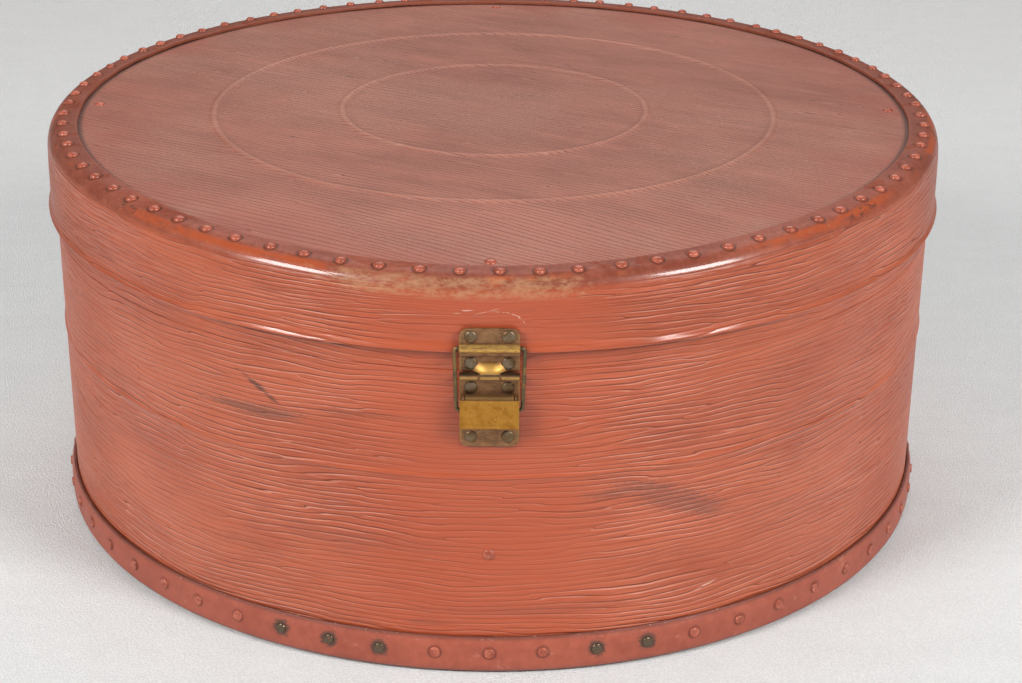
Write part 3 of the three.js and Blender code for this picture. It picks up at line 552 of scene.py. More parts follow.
set_finish(flange_red, {
    "Base Color": colour,
    "Roughness": 0.4 + streak * 0.2,
    "Normal": relief(streak * 0.12 + (place * 0.9).cloud(2) * 0.04),
})
dish_outline = with_rows(rounded([
    (0, 0, 0), (dish_outer, 0, 4.6), (dish_outer, 13.5, 2.0), (dish_inner + 1.3, dish_rise, 0.5),
    (dish_inner, dish_rise, 0.4), (dish_inner, dish_floor, 2.0), (0, dish_floor, 0),
], 4), 1.0, lambda middle: middle.x > dish_inner - 1 and middle.y > 4)
bottom_dish = turned("bottom_dish_skin", dish_outline, edge_turns, is_closed=False)
run_tree(bottom_dish, wear, {"Edge Radius": (dish_outer + dish_inner) / 2, "Edge Height": dish_rise,
                             "Reach": 4.0, "Ragged": 1.1, "Waver": 0.8, "Material": flange_red})
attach(bottom_dish, "box")
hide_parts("bottom_dish")


def head_shape(name, outline, turns=12):
    """A rivet's head, made once and then copied along the row."""
    head = turned(name, [Vector(p) for p in outline], turns, is_closed=False, smooth_below=60)
    head.hide_render = True
    return head


def seat_heads(points, turn, head, seed, spread):
    """Puts a copy of the head on each point, each of its own size."""
    own = points.add("FunctionNodeRandomValue", {"data_type": "FLOAT"}, {2: 0.0, 3: 1.0, 8: seed}, 1)
    shape = points.add("GeometryNodeObjectInfo", {"transform_space": "ORIGINAL"}, {"Object": head}, "Geometry")
    size = points.add("ShaderNodeCombineXYZ", {}, {0: 1 + (own - 0.5) * spread, 1: 1 + (own - 0.5) * spread,
                                                   2: 1.0})
    return points.add("GeometryNodeInstanceOnPoints", {}, {
        "Points": points, "Instance": shape, "Scale": size,
        "Rotation": points.add("FunctionNodeEulerToRotation", {}, {0: turn})})


low_head = head_shape("low_head", [(0, -0.4), (2.4, -0.4), (2.35, 0.45), (2.05, 0.8), (1.6, 0.85), (1.1, 0.5),
                                   (0.5, 0.7), (0, 0.75)])
row, given = new_tree("rivet row", {"Count": 58, "First": 0.0, "Row Radius": 200.0, "Row Height": 10.0,
                                    "Tip": 0.0, "Astray": 0.45, "Seed": 1, "Head": low_head})
blank = Wire(row)
points = blank.add("GeometryNodeMeshLine", {}, {"Count": given["Count"]})
index = blank.add("GeometryNodeInputIndex")
stray, lift = strays(index, given["Seed"])
even_angle = (index + given["First"]) * 2 * math.pi / given["Count"]
angle = even_angle + stray * 2 * given["Astray"] / given["Row Radius"]
is_flat = given["Tip"].cosine()
reach = given["Row Radius"] + lift * given["Astray"] * is_flat
spot = blank.add("ShaderNodeCombineXYZ", {}, {
    0: angle.work("SINE", angle) * reach * MM, 1: angle.cosine() * reach * -MM,
    2: (given["Row Height"] + lift * given["Astray"] * (1 - is_flat)) * MM})
seated = points.add("GeometryNodeSetPosition", {}, {"Geometry": points, "Position": spot})
turn = blank.add("ShaderNodeCombineXYZ", {}, {0: given["Tip"], 2: angle})
end_tree(row, seat_heads(seated, turn, given["Head"], given["Seed"], 0.12), given["Material"])

row_rivet, place = new_finish("painted rivet")
x, y, z = place.parts()
angle = bearing(x, y)
broad = (place * 0.3).cloud(3)
low_down = z.eased(30, 20)
rubbed_bare = (angle + 18.6).size().eased(9.2, 8.4).at_least((angle - 15.5).size().eased(5.4, 4.8)).at_least(
    (place * 0.02 + 5.0).cloud(1).eased(0.58, 0.62) * y.eased(0, 20))
bare = low_down * rubbed_bare * (place * 0.6).cloud(3).eased(0.24, 0.38)
colour = broad.eased(0.3, 0.7).between(shade(142, 66, 46), shade(184, 98, 74))
colour = colour.toned(bare, 104, 90, 72)
set_finish(row_rivet, {
    "Base Color": colour,
    "Roughness": 0.2 + broad * 0.12,
    "Metallic": bare * 0.7,
    "Normal": relief((place * 1.4).cloud(2) * 0.12),
})


def blank_piece(name):
    """A piece with one point, for a geometry tree to fill."""
    return new_piece(name, [(0, 0, 0)], [])


bottom_rivets = run_tree(blank_piece("bottom_rivet_row"), row, {
    "Count": dish_rivet_count, "Row Radius": dish_outer, "Row Height": dish_rivet_height, "Tip": math.pi / 2,
    "Seed": 4, "Head": low_head, "Material": row_rivet})
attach(bottom_rivets, "box")


# Collar and linings
# A plain band of the same fibre stands inside the mouth and centres the lid. The wall and the floor
# are lined with cream paper board, glued in and a little stained.

collar_red, place = new_finish("plain red fibre of the collar")
broad = (place * (0.02, 0.02, 0.1)).cloud(4, 0.6)
rub = (place * (0.05, 0.05, 0.6) + 4.0).cloud(4, 0.7).eased(0.6, 0.8)
colour = rub.between(broad.between(shade(150, 74, 56), shade(176, 92, 70)), shade(196, 128, 104))
set_finish(collar_red, {"Base Color": colour, "Roughness": 0.45 + broad * 0.2,
                        "Normal": relief((place * (0.2, 0.2, 1.2)).cloud(3) * 0.12)})
collar_outer, collar_inner, collar_foot, collar_top = 210.3, 208.5, 100.7, 154.2
mouth_collar = turned("mouth_collar_band", with_rows(rounded([
    (collar_outer, collar_foot, 0.3), (collar_outer, 153.1, 0.5), (209.7, collar_top, 0.4),
    (collar_inner, collar_top, 0.5), (collar_inner, collar_foot, 0.3),
]), 8), 256)
mouth_collar.data.materials.append(collar_red)
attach(mouth_collar, "box")
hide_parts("mouth_collar")

paper, place = new_finish("cream lining paper")
mottle = (place * 0.03).cloud(4, 0.6)
fleck = (place * 0.9).cloud(3, 0.7)
foxing = (place * 0.06 + 5.5).cloud(4, 0.65).eased(0.64, 0.76)
colour = (mottle * 0.7 + fleck * 0.3).eased(0.3, 0.7).between(shade(204, 186, 150), shade(220, 205, 172))
set_finish(paper, {"Base Color": (foxing * 0.5).between(colour, shade(172, 134, 90)), "Roughness": 0.85,
                   "Normal": relief(fleck * 0.08 + mottle * 0.3)})


def disc_outline(radius, low, high):
    """The outline of a flat disc between two heights."""
    return rounded([(0, low, 0), (radius, low, 0.25), (radius, high, 0.25), (0, high, 0)])


paper_outer, paper_inner, paper_foot, paper_top = 210.3, 209.3, 4.2, 100.4
wall_lining = turned("wall_lining_paper", with_rows(rounded([
    (paper_outer, paper_foot, 0.2), (paper_outer, paper_top, 0.2),
    (paper_inner, paper_top, 0.2), (paper_inner, paper_foot, 0.2),
]), 12), 192)
floor_lining = turned("floor_lining_paper", with_rows(disc_outline(208.7, 2.9, 3.9), 20),
                      192, is_closed=False)
for lining, node in ((wall_lining, "wall_lining"), (floor_lining, "floor_lining")):
    lining.data.materials.append(paper)
    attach(lining, "box")
    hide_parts(node)


# Lid band
# One pressing of grained fibre: a narrow skirt, a soft shoulder, the swelled side and a smooth flange
# that turns in over the top. The rounded edge has lost its paint in front, and the flange is rubbed brown.

skirt_foot, shoulder, swell, box_top = 142.74, 149.9, 151.4, 190.0
swell_radius, swell_top_radius = 216.0, 214.4
rim_inner, rim_under = 200.3, 188.2
band_thickness = 1.8
rim_rivet_radius, rim_rivet_count = 207.0, 80
front_sag, sag_start, sag_low, panel_floor = 6.3, 138.0, 164.0, 183.0


def sagged(piece):
    """Lets the front of the lid's top down a little, and keeps each point's place from before."""
    mesh = piece.data
    flat = np.empty(len(mesh.vertices) * 3, dtype=np.float32)
    mesh.vertices.foreach_get("co", flat)
    mesh.attributes.new("unbent", "FLOAT_VECTOR", "POINT").data.foreach_set("vector", flat)
    spots = flat.reshape(-1, 3)
    x, y, z = spots.T / MM
    radius = np.hypot(x, y)
    by_front = np.clip(-y / np.maximum(radius, 1e-6), 0, 1) ** 3.8
    by_rim = np.clip((radius - sag_start) / (rim_inner + 4 - sag_start), 0, 1)
    by_height = np.clip((z - sag_low) / (panel_floor - sag_low), 0, 1)
    share = by_front * (by_rim ** 2 * (3 - 2 * by_rim)) * (by_height ** 2 * (3 - 2 * by_height))
    spots[:, 2] -= front_sag * share * MM
    mesh.vertices.foreach_set("co", spots.ravel())
    mesh.update()


lid_red, place = new_finish("brick red fibre of the lid", unbent=True)
x, y, z = place.parts()
radius = from_axis(x, y)
grain, lip = ridges(place, z, 2.5, 40, 10)
colour, roughness, shine = fibre_paint(place, grain, lip)
side_shown = z.eased(187, 182)
cloud = (place * 0.05).cloud(4, 0.6)
top_shown = z.eased(188.4, 189.7)
fine_cloud = (place * 0.4).cloud(3)
flange = (cloud * 0.7 + fine_cloud * 0.3).eased(0.3, 0.7).between(shade(124, 58, 40), shade(152, 82, 62))
# Painted shade: the lid is painted darker away from the front, round its sides and back, which turn from the
# lamps.
turned_away_shade = y.eased(-130, -60)
ring = rivet_ring(place, rim_rivet_radius, rim_rivet_count, radius, rim_rivet_radius, 0.25, 11, 0.45)
flange = (ring.eased(3.9, 3.0) * 0.6).between(flange, shade(78, 44, 30))
flange = (radius.eased(202.0, 200.4) * 0.4).between(flange, shade(168, 100, 78))
colour = (turned_away_shade * 0.4).between(side_shown.between(flange, colour), shade(112, 56, 38))
on_edge = z.eased(185.0, 188.0) * radius.eased(209.0, 211.0)
angle = bearing(x, y)
wear_side = (angle + 32).size().eased(17, 12).at_least((angle - 43).size().eased(15, 9))
bare = on_edge * (wear_side * (place * (0.05, 0.05, 0.3)).cloud(4, 0.7).eased(0.36, 0.5)).at_least(
    (place * (0.03, 0.03, 0.1) + 2.2).cloud(4, 0.6).eased(0.54, 0.62))
colour = colour.toned(bare * 0.8, 172, 76, 36)
knocks = (angle + 47).size().eased(2.6, 1.2).at_least((angle - 49).size().eased(3.4, 1.6))
knocked = knocks * on_edge * (place * (0.3, 0.3, 0.6)).cloud(4, 0.7).eased(0.5, 0.6)
colour = colour.toned(knocked * 0.85, 62, 50, 48)
speckle = (place * (0.2, 0.2, 0.5) + 1.1).cloud(5, 0.8)
rubbed_front = (angle + 4).size().eased(19, 9) * 0.2
tan = z.eased(178.5, 183) * z.eased(189.4, 188.0) * (speckle + rubbed_front).eased(0.54, 0.84)
colour = colour.toned(tan * 0.62, 184, 138, 102)
specks = (place * (0.1, 0.1, 0.6) + 3.0).cloud(4, 0.7)
by_shoulder = z.eased(149.3, 150.0) * z.eased(151.2, 150.4)
left_shoulder = (angle + 36).size().eased(24, 14)
colour = colour.toned(by_shoulder * (specks + left_shoulder * 0.16).eased(0.56, 0.66) * 0.85, 72, 46, 38)
colour = stained(colour, place, [
    ((-9, 172.5), (2.6, 0.7), 0.2, 0.8, shade(214, 170, 154)),
    ((-13, 170), (1.8, 0.4), 0.0, 0.7, shade(206, 158, 140)),
    ((2, 173.5), (2.4, 0.4), 0.5, 0.6, shade(206, 158, 140)),
])
arc_away = (((x - 2) ** 2 + (z - 158.8) ** 2) ** 0.5 - 13.1 + (specks - 0.5) * 1.4).size()
arc_scratch = arc_away.eased(0.4, 0.15) * z.eased(163, 165) * x.eased(-8, -3) * y.eased(0, -20)
colour = colour.toned(arc_scratch * (place * 0.8).cloud(3, 0.7).eased(0.42, 0.58) * 0.7, 220, 176, 152)
set_finish(lid_red, {
    "Base Color": colour,
    "Roughness": roughness - z.eased(176, 184) * 0.1 + top_shown * 0.16,
    "Coat Weight": shine * (1 - top_shown * 0.95), "Coat Roughness": 0.13, "Specular IOR Level": 0.25,
    "Normal": relief(creased(grain, place) * side_shown + (place * (0.3, 0.3, 2.2)).cloud(2) * 0.05
                     + (place * 0.15).cloud(3) * 0.2 * (1 - side_shown)),
})
band_outline = with_rows(rounded([
    (wall_radius, skirt_foot, 0.4), (wall_radius, shoulder, 0.9), (swell_radius + 0.7, swell + 0.6, 1.0),
    (swell_radius - 0.9, swell + 3.8, 1.8), (swell_radius - 1.0, swell + 22, 4.0),
    (swell_top_radius, box_top, 9.0), (rim_inner, box_top, 0.6), (rim_inner, rim_under, 0.5),
    (swell_top_radius - band_thickness, rim_under, 3.0), (swell_radius - band_thickness, swell + 1, 1.2),
    (wall_radius - band_thickness, shoulder + 1, 1.2), (wall_radius - band_thickness, skirt_foot, 0.4),
], 7), side_row, lambda middle: middle.x > wall_radius - 0.6 and middle.y < 186)
band_outline = with_rows(band_outline, 2.0, lambda middle: middle.y > 189.9)
lid_band = turned("lid_band_skin", band_outline, 480, smooth_below=75)
run_tree(lid_band, press, {"Depth": 0.22, "Skin Radius": wall_radius - 0.6,
                           "Fade Start": 180.0, "Fade End": 185.5, "Material": lid_red})
run_tree(lid_band, wear, {"Edge Radius": rim_inner, "Edge Height": box_top - 0.9, "Reach": 6.0, "Ragged": 0.5,
                          "Waver": 1.2, "Material": lid_red})
sagged(lid_band)
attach(lid_band, "lid")
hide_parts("lid_band")

domed_head = head_shape("domed_head", [(0, -0.6), (2.5, -0.6), (2.5, 0.12), (2.2, 0.62), (1.6, 1.05),
                                       (0.8, 1.28), (0, 1.33)])
rim_rivets = run_tree(blank_piece("rim_rivet_row"), row, {
    "Count": rim_rivet_count, "First": 0.25, "Row Radius": rim_rivet_radius, "Row Height": box_top, "Tip": 0.0,
    "Seed": 11, "Head": domed_head, "Material": row_rivet})
sagged(rim_rivets)
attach(rim_rivets, "lid")


# Lid panel
# A flat round board under the flange, of the same fibre with a finer and straighter grain that runs
# across it on the slant. Two raised rings were pressed into it, and its red has faded to rose brown.

panel_radius, panel_top, panel_under = 209.7, 188.1, 186.1
ring_radii = (135.9, 74.2)
ring_proud, ring_half = 0.75, 3.0
panel_slant = math.radians(-28)

panel_rose, place = new_finish("rose brown fibre of the lid panel", unbent=True)
x, y, z = place.parts()
radius = from_axis(x, y)
turned_place = place.add("ShaderNodeVectorRotate", {"rotation_type": "Z_AXIS"}, {"Vector": place,
                                                                                "Angle": -panel_slant})
straight = turned_place * (1, 1, 0)
grain, lip = ridges(straight.add("ShaderNodeVectorRotate", {"rotation_type": "X_AXIS"}, {
    "Vector": straight, "Angle": math.pi / 2}), turned_place.parts()[1], 2.8, 70, 14)
broad = (place * 0.008).cloud(3)
middling = (turned_place * (0.02, 0.05, 0.02)).cloud(4, 0.6)
colour = (broad * 0.4 + middling * 0.6).eased(0.2, 0.8).between(shade(134, 72, 55), shade(174, 107, 87))
dust = (place * 0.006 + 3.3).cloud(4, 0.6).eased(0.45, 0.62)
colour = colour.toned(dust * 0.35, 158, 112, 94)
patches = (turned_place * (0.03, 0.12, 0.03) + 5.1).cloud(4, 0.7)
# Painted shade in the creases, with some dirt, and a painted highlight on the lip under each.
colour = colour.toned(((1 - grain) ** 2) * patches.eased(0.3, 0.55), 84, 38, 27)
colour = colour.toned(lip * patches.eased(0.3, 0.55) * 0.5, 204, 142, 120)
flecks = (turned_place * (0.5, 1.2, 0.5)).cloud(3, 0.7).eased(0.56, 0.7) * dust.eased(-0.4, 0.8)
colour = colour.toned(flecks * 0.5, 208, 158, 136)
rubbed = (turned_place * (0.02, 0.3, 0.02) + 1.0).cloud(4, 0.7).eased(0.5, 0.7)
colour = colour.toned(rubbed * 0.3, 180, 112, 90)
reddened = (radius.eased(150, 200) * (place * 0.02 + 8.0).cloud(3).eased(0.4, 0.6))
colour = colour.toned(reddened * 0.5, 154, 76, 58)
# Painted shade: a dark band along the panel's edge, under the step up to the flange.
colour = colour.toned(radius.eased(197.0, 200.6) * 0.8, 70, 46, 40)
for ring_radius in ring_radii:
    # Each ring is painted paler on its crest, a painted highlight, and darker at its inner foot, a painted
    # shade.
    ring_crest_highlight = (radius - ring_radius).size().eased(2.0, 0.4)
    colour = colour.toned(ring_crest_highlight * 0.4 * middling, 200, 142, 118)
    inside = (radius - ring_radius + 3.0).size().eased(2.6, 0.6)
    colour = colour.toned(inside * 0.2 * middling, 122, 62, 50)
set_finish(panel_rose, {
    "Base Color": colour,
    "Roughness": 0.42 + middling * 0.2,
    "Normal": relief(grain * (0.06 + patches * 0.3) + middling * 0.3 + rubbed * 0.06),
})


def ring_rise(radius):
    """How far the panel stands up at a radius."""
    rise = 0
    for middle in ring_radii:
        away = min(abs(radius - middle) / ring_half, 1)
        rise += ring_proud * (0.5 + 0.5 * math.cos(math.pi * away))
    return rise


radii = sorted({r for middle in ring_radii for r in np.linspace(middle - ring_half, middle + ring_half, 13)}
               | set(np.linspace(0, panel_radius - 0.4, 60)))
panel_outline = [Vector((r, panel_under + ring_rise(r))) for r in radii]
panel_edge = rounded([(panel_radius, panel_under, 0.3), (panel_radius, panel_top, 0.3), (0, panel_top, 0)])
panel_outline += panel_edge[:-1]
panel_outline += [Vector((r, panel_top + ring_rise(r))) for r in reversed(radii)]
lid_panel = turned("lid_panel_skin", panel_outline, 256, is_closed=False)
lid_panel.data.materials.append(panel_rose)
sagged(lid_panel)
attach(lid_panel, "lid")
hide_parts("lid_panel")

lid_lining = turned("lid_lining_paper", with_rows(disc_outline(panel_radius, 184.8, 185.8), 20),
                    192, is_closed=False)
lid_lining.data.materials.append(paper)
sagged(lid_lining)
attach(lid_lining, "lid")
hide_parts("lid_lining")


# Single rivets and their washers
# One painted rivet stands low on the wall and one near the edge of the panel at each quarter. Inside,
# each is clenched over a round steel washer.

quarters = {"front": 0, "right": 90, "back": 180, "left": 270}
single_radius, single_height = 212.6, 57.4
panel_single_radius = 193.0
wall_washer_radius, panel_washer_height = 209.0, 184.5

spots, given = new_tree("single rivets", {"Seed": 1, "Spread": 0.1, "Head": domed_head})
turn = Wire(spots).add("GeometryNodeInputNamedAttribute", {"data_type": "FLOAT_VECTOR"}, {"Name": "turn"})
end_tree(spots, seat_heads(given["Geometry"], turn, given["Head"], given["Seed"], given["Spread"]),
         given["Material"])


def seated_heads(name, seats, head, seed, material, body, nodes):
    """Rivets at (place, turn) seats, as one piece that stands for these nodes."""
    piece = new_piece(name, [seat for seat, turn in seats], [])
    turns = piece.data.attributes.new("turn", "FLOAT_VECTOR", "POINT")
    turns.data.foreach_set("vector", [value for seat, turn in seats for value in turn])
    run_tree(piece, spots, {"Seed": seed, "Head": head, "Material": material})
    if body == "lid":
        sagged(piece)
    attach(piece, body)
    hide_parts(*nodes)


def on_side(angle, radius, height):
    """A seat on the side of the box, facing out, at an angle from the front."""
    return (radius * math.sin(angle), -radius * math.cos(angle), height), (math.pi / 2, 0, angle)


def on_panel(angle, height, tip):
    """A seat on the panel at an angle from the front, facing up, or down where it is tipped over."""
    return ((panel_single_radius * math.sin(angle), -panel_single_radius * math.cos(angle), height),
            (tip, 0, angle))


single_head = head_shape("single_head", [(0, -0.6), (2.5, -0.6), (2.5, 0.1), (2.2, 0.5), (1.55, 0.9),
                                         (0.8, 1.08), (0, 1.1)], 20)
washer_shape = head_shape("washer", [(0, 0.0), (4.4, 0.0), (4.4, 0.65), (4.15, 0.8), (1.9, 0.8), (1.7, 1.1),
                                     (1.2, 1.5), (0, 1.6)], 24)
steel, place = new_finish("dark rivet steel")
mist = (place * 0.8).cloud(4, 0.6)
tarnish = (place * 0.25 + 2.0).cloud(3).eased(0.42, 0.62)
set_finish(steel, {
    "Base Color": tarnish.between(mist.between(shade(112, 94, 74), shade(150, 130, 106)), shade(116, 90, 60)),
    "Metallic": 0.85,
    "Roughness": 0.32 + mist * 0.25,
    "Normal": relief(mist * 0.12),
})
angles = [math.radians(degrees) for degrees in quarters.values()]
seated_heads("wall_single_rivets", [on_side(angle, single_radius, single_height) for angle in angles],
             single_head, 3, row_rivet, "box", ["wall_rivet_" + name for name in quarters])
seated_heads("wall_washers", [on_side(angle, -wall_washer_radius, single_height) for angle in angles],
             washer_shape, 5, steel, "box", ["wall_washer_" + name for name in quarters])
seated_heads("panel_single_rivets",
             [on_panel(angle, panel_top, 0) for angle in angles],
             single_head, 7, row_rivet, "lid", ["panel_rivet_" + name for name in quarters])
seated_heads("panel_washers",
             [on_panel(angle, panel_washer_height, math.pi) for angle in angles],
             washer_shape, 9, steel, "lid", ["panel_washer_" + name for name in quarters])


# Latch plates
# Two plates of sheet brass, cut and folded cold. The strike plate on the lid is rolled over the wire
# loop and swells into a tongue; the base plate folds out at its top into two lugs beside the tongue.
# The brass has gone brown and green and shines where hands rub it. Its edges and rounded parts carry
# painted highlights, and the lugs' tops a painted shade.

sheet = 0.8
latch_half, latch_corner = 12.3, 3.6
strike_foot, strike_top, base_foot, base_top = 143.0, 163.2, 108.7, 142.0
loop_axis, loop_proud = 154.6, 4.5
lug_front, fold_out, tongue_half, notch_half = 4.6, 4.2, 3.9, 4.75
swelling_half, swelling_crest_half, swelling_rise = 7.4, 3.9, 4.0
low_out, high_out = 0.7, 4.1  # from the wall to the middle of a sheet, on the wall and on the lid's swell


def tube_faces(rings, count):
    """The faces of a closed tube: these many rings of count points each, with a flat face at each end."""
    faces = []
    for low in range(0, (rings - 1) * count, count):
        for k in range(count):
            beside = (k + 1) % count
            faces.append((low + k, low + beside, low + count + beside, low + count + k))
    return faces + [tuple(range(count)), tuple(range((rings - 1) * count, rings * count))]


def strip(path, thickness=sheet, ease=0.2):
    """A strip of sheet metal through (out, up, left, right) stations, with eased edges and ends."""
    spots = [Vector(station[:2]) for station in path]
    rings = []
    for i, (out, up, left, right) in enumerate(path):
        along = (spots[min(i + 1, len(path) - 1)] - spots[max(i - 1, 0)]).normalized()
        rings.append((spots[i], along, left, right, thickness / 2))
    ends = []
    for (spot, along, left, right, half), side in ((rings[0], 1), (rings[-1], -1)):
        ends.append((spot, along, left + ease, right - ease, half - ease))
        rings[0 if side > 0 else -1] = (spot + along * side * ease, along, left, right, half)
    rings = [ends[0], *rings, ends[1]]
    points = []
    for spot, along, left, right, half in rings:
        face = Vector((along.y, -along.x))
        for x, off in ((left, ease - half), (left + ease, -half), (right - ease, -half), (right, ease - half),
                       (right, half - ease), (right - ease, half), (left + ease, half), (left, half - ease)):
            here = spot + face * off
            points.append((x, here.x, here.y))
    return points, tube_faces(len(rings), 8)


def slab(outline, left, right, ease=0.15):
    """A flat cheek with this (out, up) outline, standing between left and right."""
    middle = sum((Vector(p) for p in outline), Vector((0, 0))) / len(outline)
    points = []
    for x, inset in ((left, ease), (left + ease, 0), (right - ease, 0), (right, ease)):
        for p in outline:
            here = Vector(p)
            here += (middle - here).normalized() * inset
            points.append((x, here.x, here.y))
    return points, tube_faces(4, len(outline))


def rod(out, up, radius, left, right, sides=24, ease=0.15):
    """A round rod that lies from left to right."""
    turns = [2 * math.pi * k / sides for k in range(sides)]
    circle = [(out + radius * math.cos(turn), up + radius * math.sin(turn)) for turn in turns]
    return slab(circle, left, right, ease)


def on_front(x, out, up):
    """A place in front of the box, this far out from the wall."""
    return x, -(wall_radius + out), up


def assembled(name, shapes, seat, material, body, nodes):
    """One piece from several shapes, each put in its place on the box and turned right side out."""
    points, faces = [], []
    for shape_points, shape_faces in shapes:
        faces += [[k + len(points) for k in face] for face in shape_faces]
        points += [seat(*p) for p in shape_points]
    piece = new_piece(name, points, faces)
    shell = bmesh.new()
    shell.from_mesh(piece.data)
    bmesh.ops.recalc_face_normals(shell, faces=shell.faces)
    shell.to_mesh(piece.data)
    shell.free()
    piece.data.set_sharp_from_angle(angle=math.radians(40))
    piece.data.materials.append(material)
    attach(piece, body)
    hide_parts(*nodes)


def arc(out, up, radius, start, end, steps=8):
    """Points along a part of a circle, between two angles in degrees."""
    turns = [math.radians(start + (end - start) * k / steps) for k in range(steps + 1)]
    return [Vector((out + radius * math.cos(t), up + radius * math.sin(t))) for t in turns]


def corner_half(up, end, half=latch_half):
    """Half the width of a plate with rounded corners, this high, where it ends at end."""
    left = latch_corner - abs(up - end)
    return half - latch_corner + math.sqrt(max(latch_corner ** 2 - max(left, 0) ** 2, 0))


brass, place = new_finish("tarnished sheet brass")
x, y, z = place.parts()
film = (place * 0.22).cloud(4, 0.6)
streak = (place * (0.3, 0.3, 1.6)).cloud(3)
colour = (film * 0.6 + streak * 0.4).eased(0.35, 0.65).between(shade(164, 120, 82), shade(124, 88, 62))
green = (place * 0.35 + 4.0).cloud(4, 0.6).eased(0.56, 0.7)
colour = colour.toned(green * 0.4, 104, 100, 72)
# Painted highlight: a paler band along the plates' left and right edges.
border_highlight = x.size().eased(11.0, 12.2) * film.eased(0.35, 0.6)
colour = colour.toned(border_highlight * 0.45, 206, 158, 90)
out = y * -1 - wall_radius
on_bead = (z - loop_axis).size().eased(2.3, 1.6) * out.eased(5.0, 5.8)
from_swelling = ((x / 7.6) ** 2 + ((z - 143.6) / 4.2) ** 2) ** 0.5
on_swelling = from_swelling.eased(1.0, 0.6) * z.eased(142.8, 143.2) * out.eased(1.0, 1.6)
on_lip = z.eased(142.0, 141.5) * out.eased(3.6, 4.2) * z.eased(139, 140)
dull = (place * (0.5, 0.5, 1.4) + 7.0).cloud(4, 0.7).eased(0.62, 0.42)
# The bead, the swelling and the lugs' lips are painted paler: rubbed brass, with a painted highlight where
# their rounded faces catch the light.
rubbed = (on_bead * (0.35 + dull * 0.55)).at_least(on_swelling * 0.85).at_least(on_lip * 0.45)
colour = colour.toned(rubbed, 220, 172, 90)
# Painted shade: the lugs' tops, under the strike plate's edge, and the tongue at that height are painted dark.
colour = colour.toned(z.eased(141.8, 142.1) * z.eased(142.7, 142.5) * out.eased(1.3, 1.8) * 0.7, 74, 66, 52)
set_finish(brass, {
    "Base Color": colour,
    "Metallic": 0.8,
    "Roughness": 0.46 - on_bead * 0.12 + streak * 0.1,
    "Normal": relief(film * 0.16 + streak * 0.05),
})
strike_line = [
    Vector((high_out, strike_top)), *[Vector((high_out, strike_top - d)) for d in (0.4, 0.9, 1.6, 2.6, 3.6)],
    Vector((high_out, 157.2)), Vector((4.25, 156.6)), *arc(loop_proud, loop_axis, 1.7, 75, -75, 10),
    Vector((4.25, 152.6)), Vector((high_out, 152.0)), Vector((3.9, 151.2)), Vector((0.9, 149.5)),
    Vector((low_out, 148.9)), Vector((low_out, strike_foot)),
]
strike_path = [(p.x, p.y, -corner_half(p.y, strike_top), corner_half(p.y, strike_top)) for p in strike_line]


def swelling(half_foot, half_crest, foot, rise, reach, thickness=sheet):
    """A blister pressed out of a plate's bottom edge, as a curved skin of even thickness."""
    columns, rows = 25, 13
    skins = []
    for depth in (0, thickness):
        skin = []
        for j in range(rows):
            up = j / (rows - 1)
            half = half_foot + (half_crest - half_foot) * up ** 2.2
            for i in range(columns):
                aside = i / (columns - 1) * 2 - 1
                swell_out = (0.5 + 0.5 * math.cos(math.pi * abs(aside) ** 1.3)) ** 0.6
                swell_out *= math.cos(math.pi / 2 * up) ** 0.7
                skin.append((aside * half, 1.02 + (reach - 1.0) * swell_out - depth, foot + rise * up))
        skins.append(skin)
    points = skins[0] + skins[1]
    back = len(skins[0])
    faces = []
    for j in range(rows - 1):
        for i in range(columns - 1):
            k = j * columns + i
            face = (k, k + 1, k + 1 + columns, k + columns)
            faces += [face, tuple(back + n for n in reversed(face))]
    edge = [*range(columns), *range(2 * columns - 1, rows * columns, columns),
            *range(rows * columns - 2, (rows - 1) * columns - 1, -1), *range((rows - 2) * columns, 0, -columns)]
    faces += [(m, n, back + n, back + m) for m, n in zip(edge, edge[1:] + edge[:1])]
    return points, faces


tongue_path = [(fold_out, up, -tongue_half, tongue_half) for up in (143.6, 143.2, 141.8, 140.4)]
assembled("latch_strike_sheet", [
    strip(strike_path), swelling(swelling_half, swelling_crest_half, strike_foot, swelling_rise, lug_front),
    strip(tongue_path),
], on_front, brass, "lid", ["latch_strike_plate"])

base_line = [Vector((low_out, base_foot + d)) for d in (0, 0.4, 0.9, 1.6, 2.6, 3.6)]
base_line.append(Vector((low_out, base_top)))
base_path = [(p.x, p.y, -corner_half(p.y, base_foot), corner_half(p.y, base_foot)) for p in base_line]
lug_line = rounded([(low_out, base_top - 1.1, 0), (low_out, base_top, 0.5), (fold_out, base_top, 0.6),
                    (fold_out, base_top - 1.5, 0)], 4)
lever_axis, lever_proud = 131.5, 3.9
barrel_radius, pin_radius = 1.9, 0.9
ear_middle = latch_half - 1.2 - sheet / 2
ear = [(low_out, lever_axis - 1.4), (lever_proud, lever_axis - barrel_radius),
       *[tuple(p) for p in arc(lever_proud, lever_axis, barrel_radius, -70, 70)],
       (lever_proud, lever_axis + barrel_radius), (low_out, lever_axis + 1.4)]
assembled("latch_base_sheet", [
    strip(base_path),
    *[strip([(p.x, p.y, *sorted((side * notch_half, side * latch_half))) for p in lug_line])
      for side in (-1, 1)],
    *[slab(ear, side * ear_middle - sheet / 2, side * ear_middle + sheet / 2) for side in (-1, 1)],
], on_front, brass, "box", ["latch_base_plate"])


# Latch rivets
# Eight blue grey steel rivets, domed and dull, four in each plate.

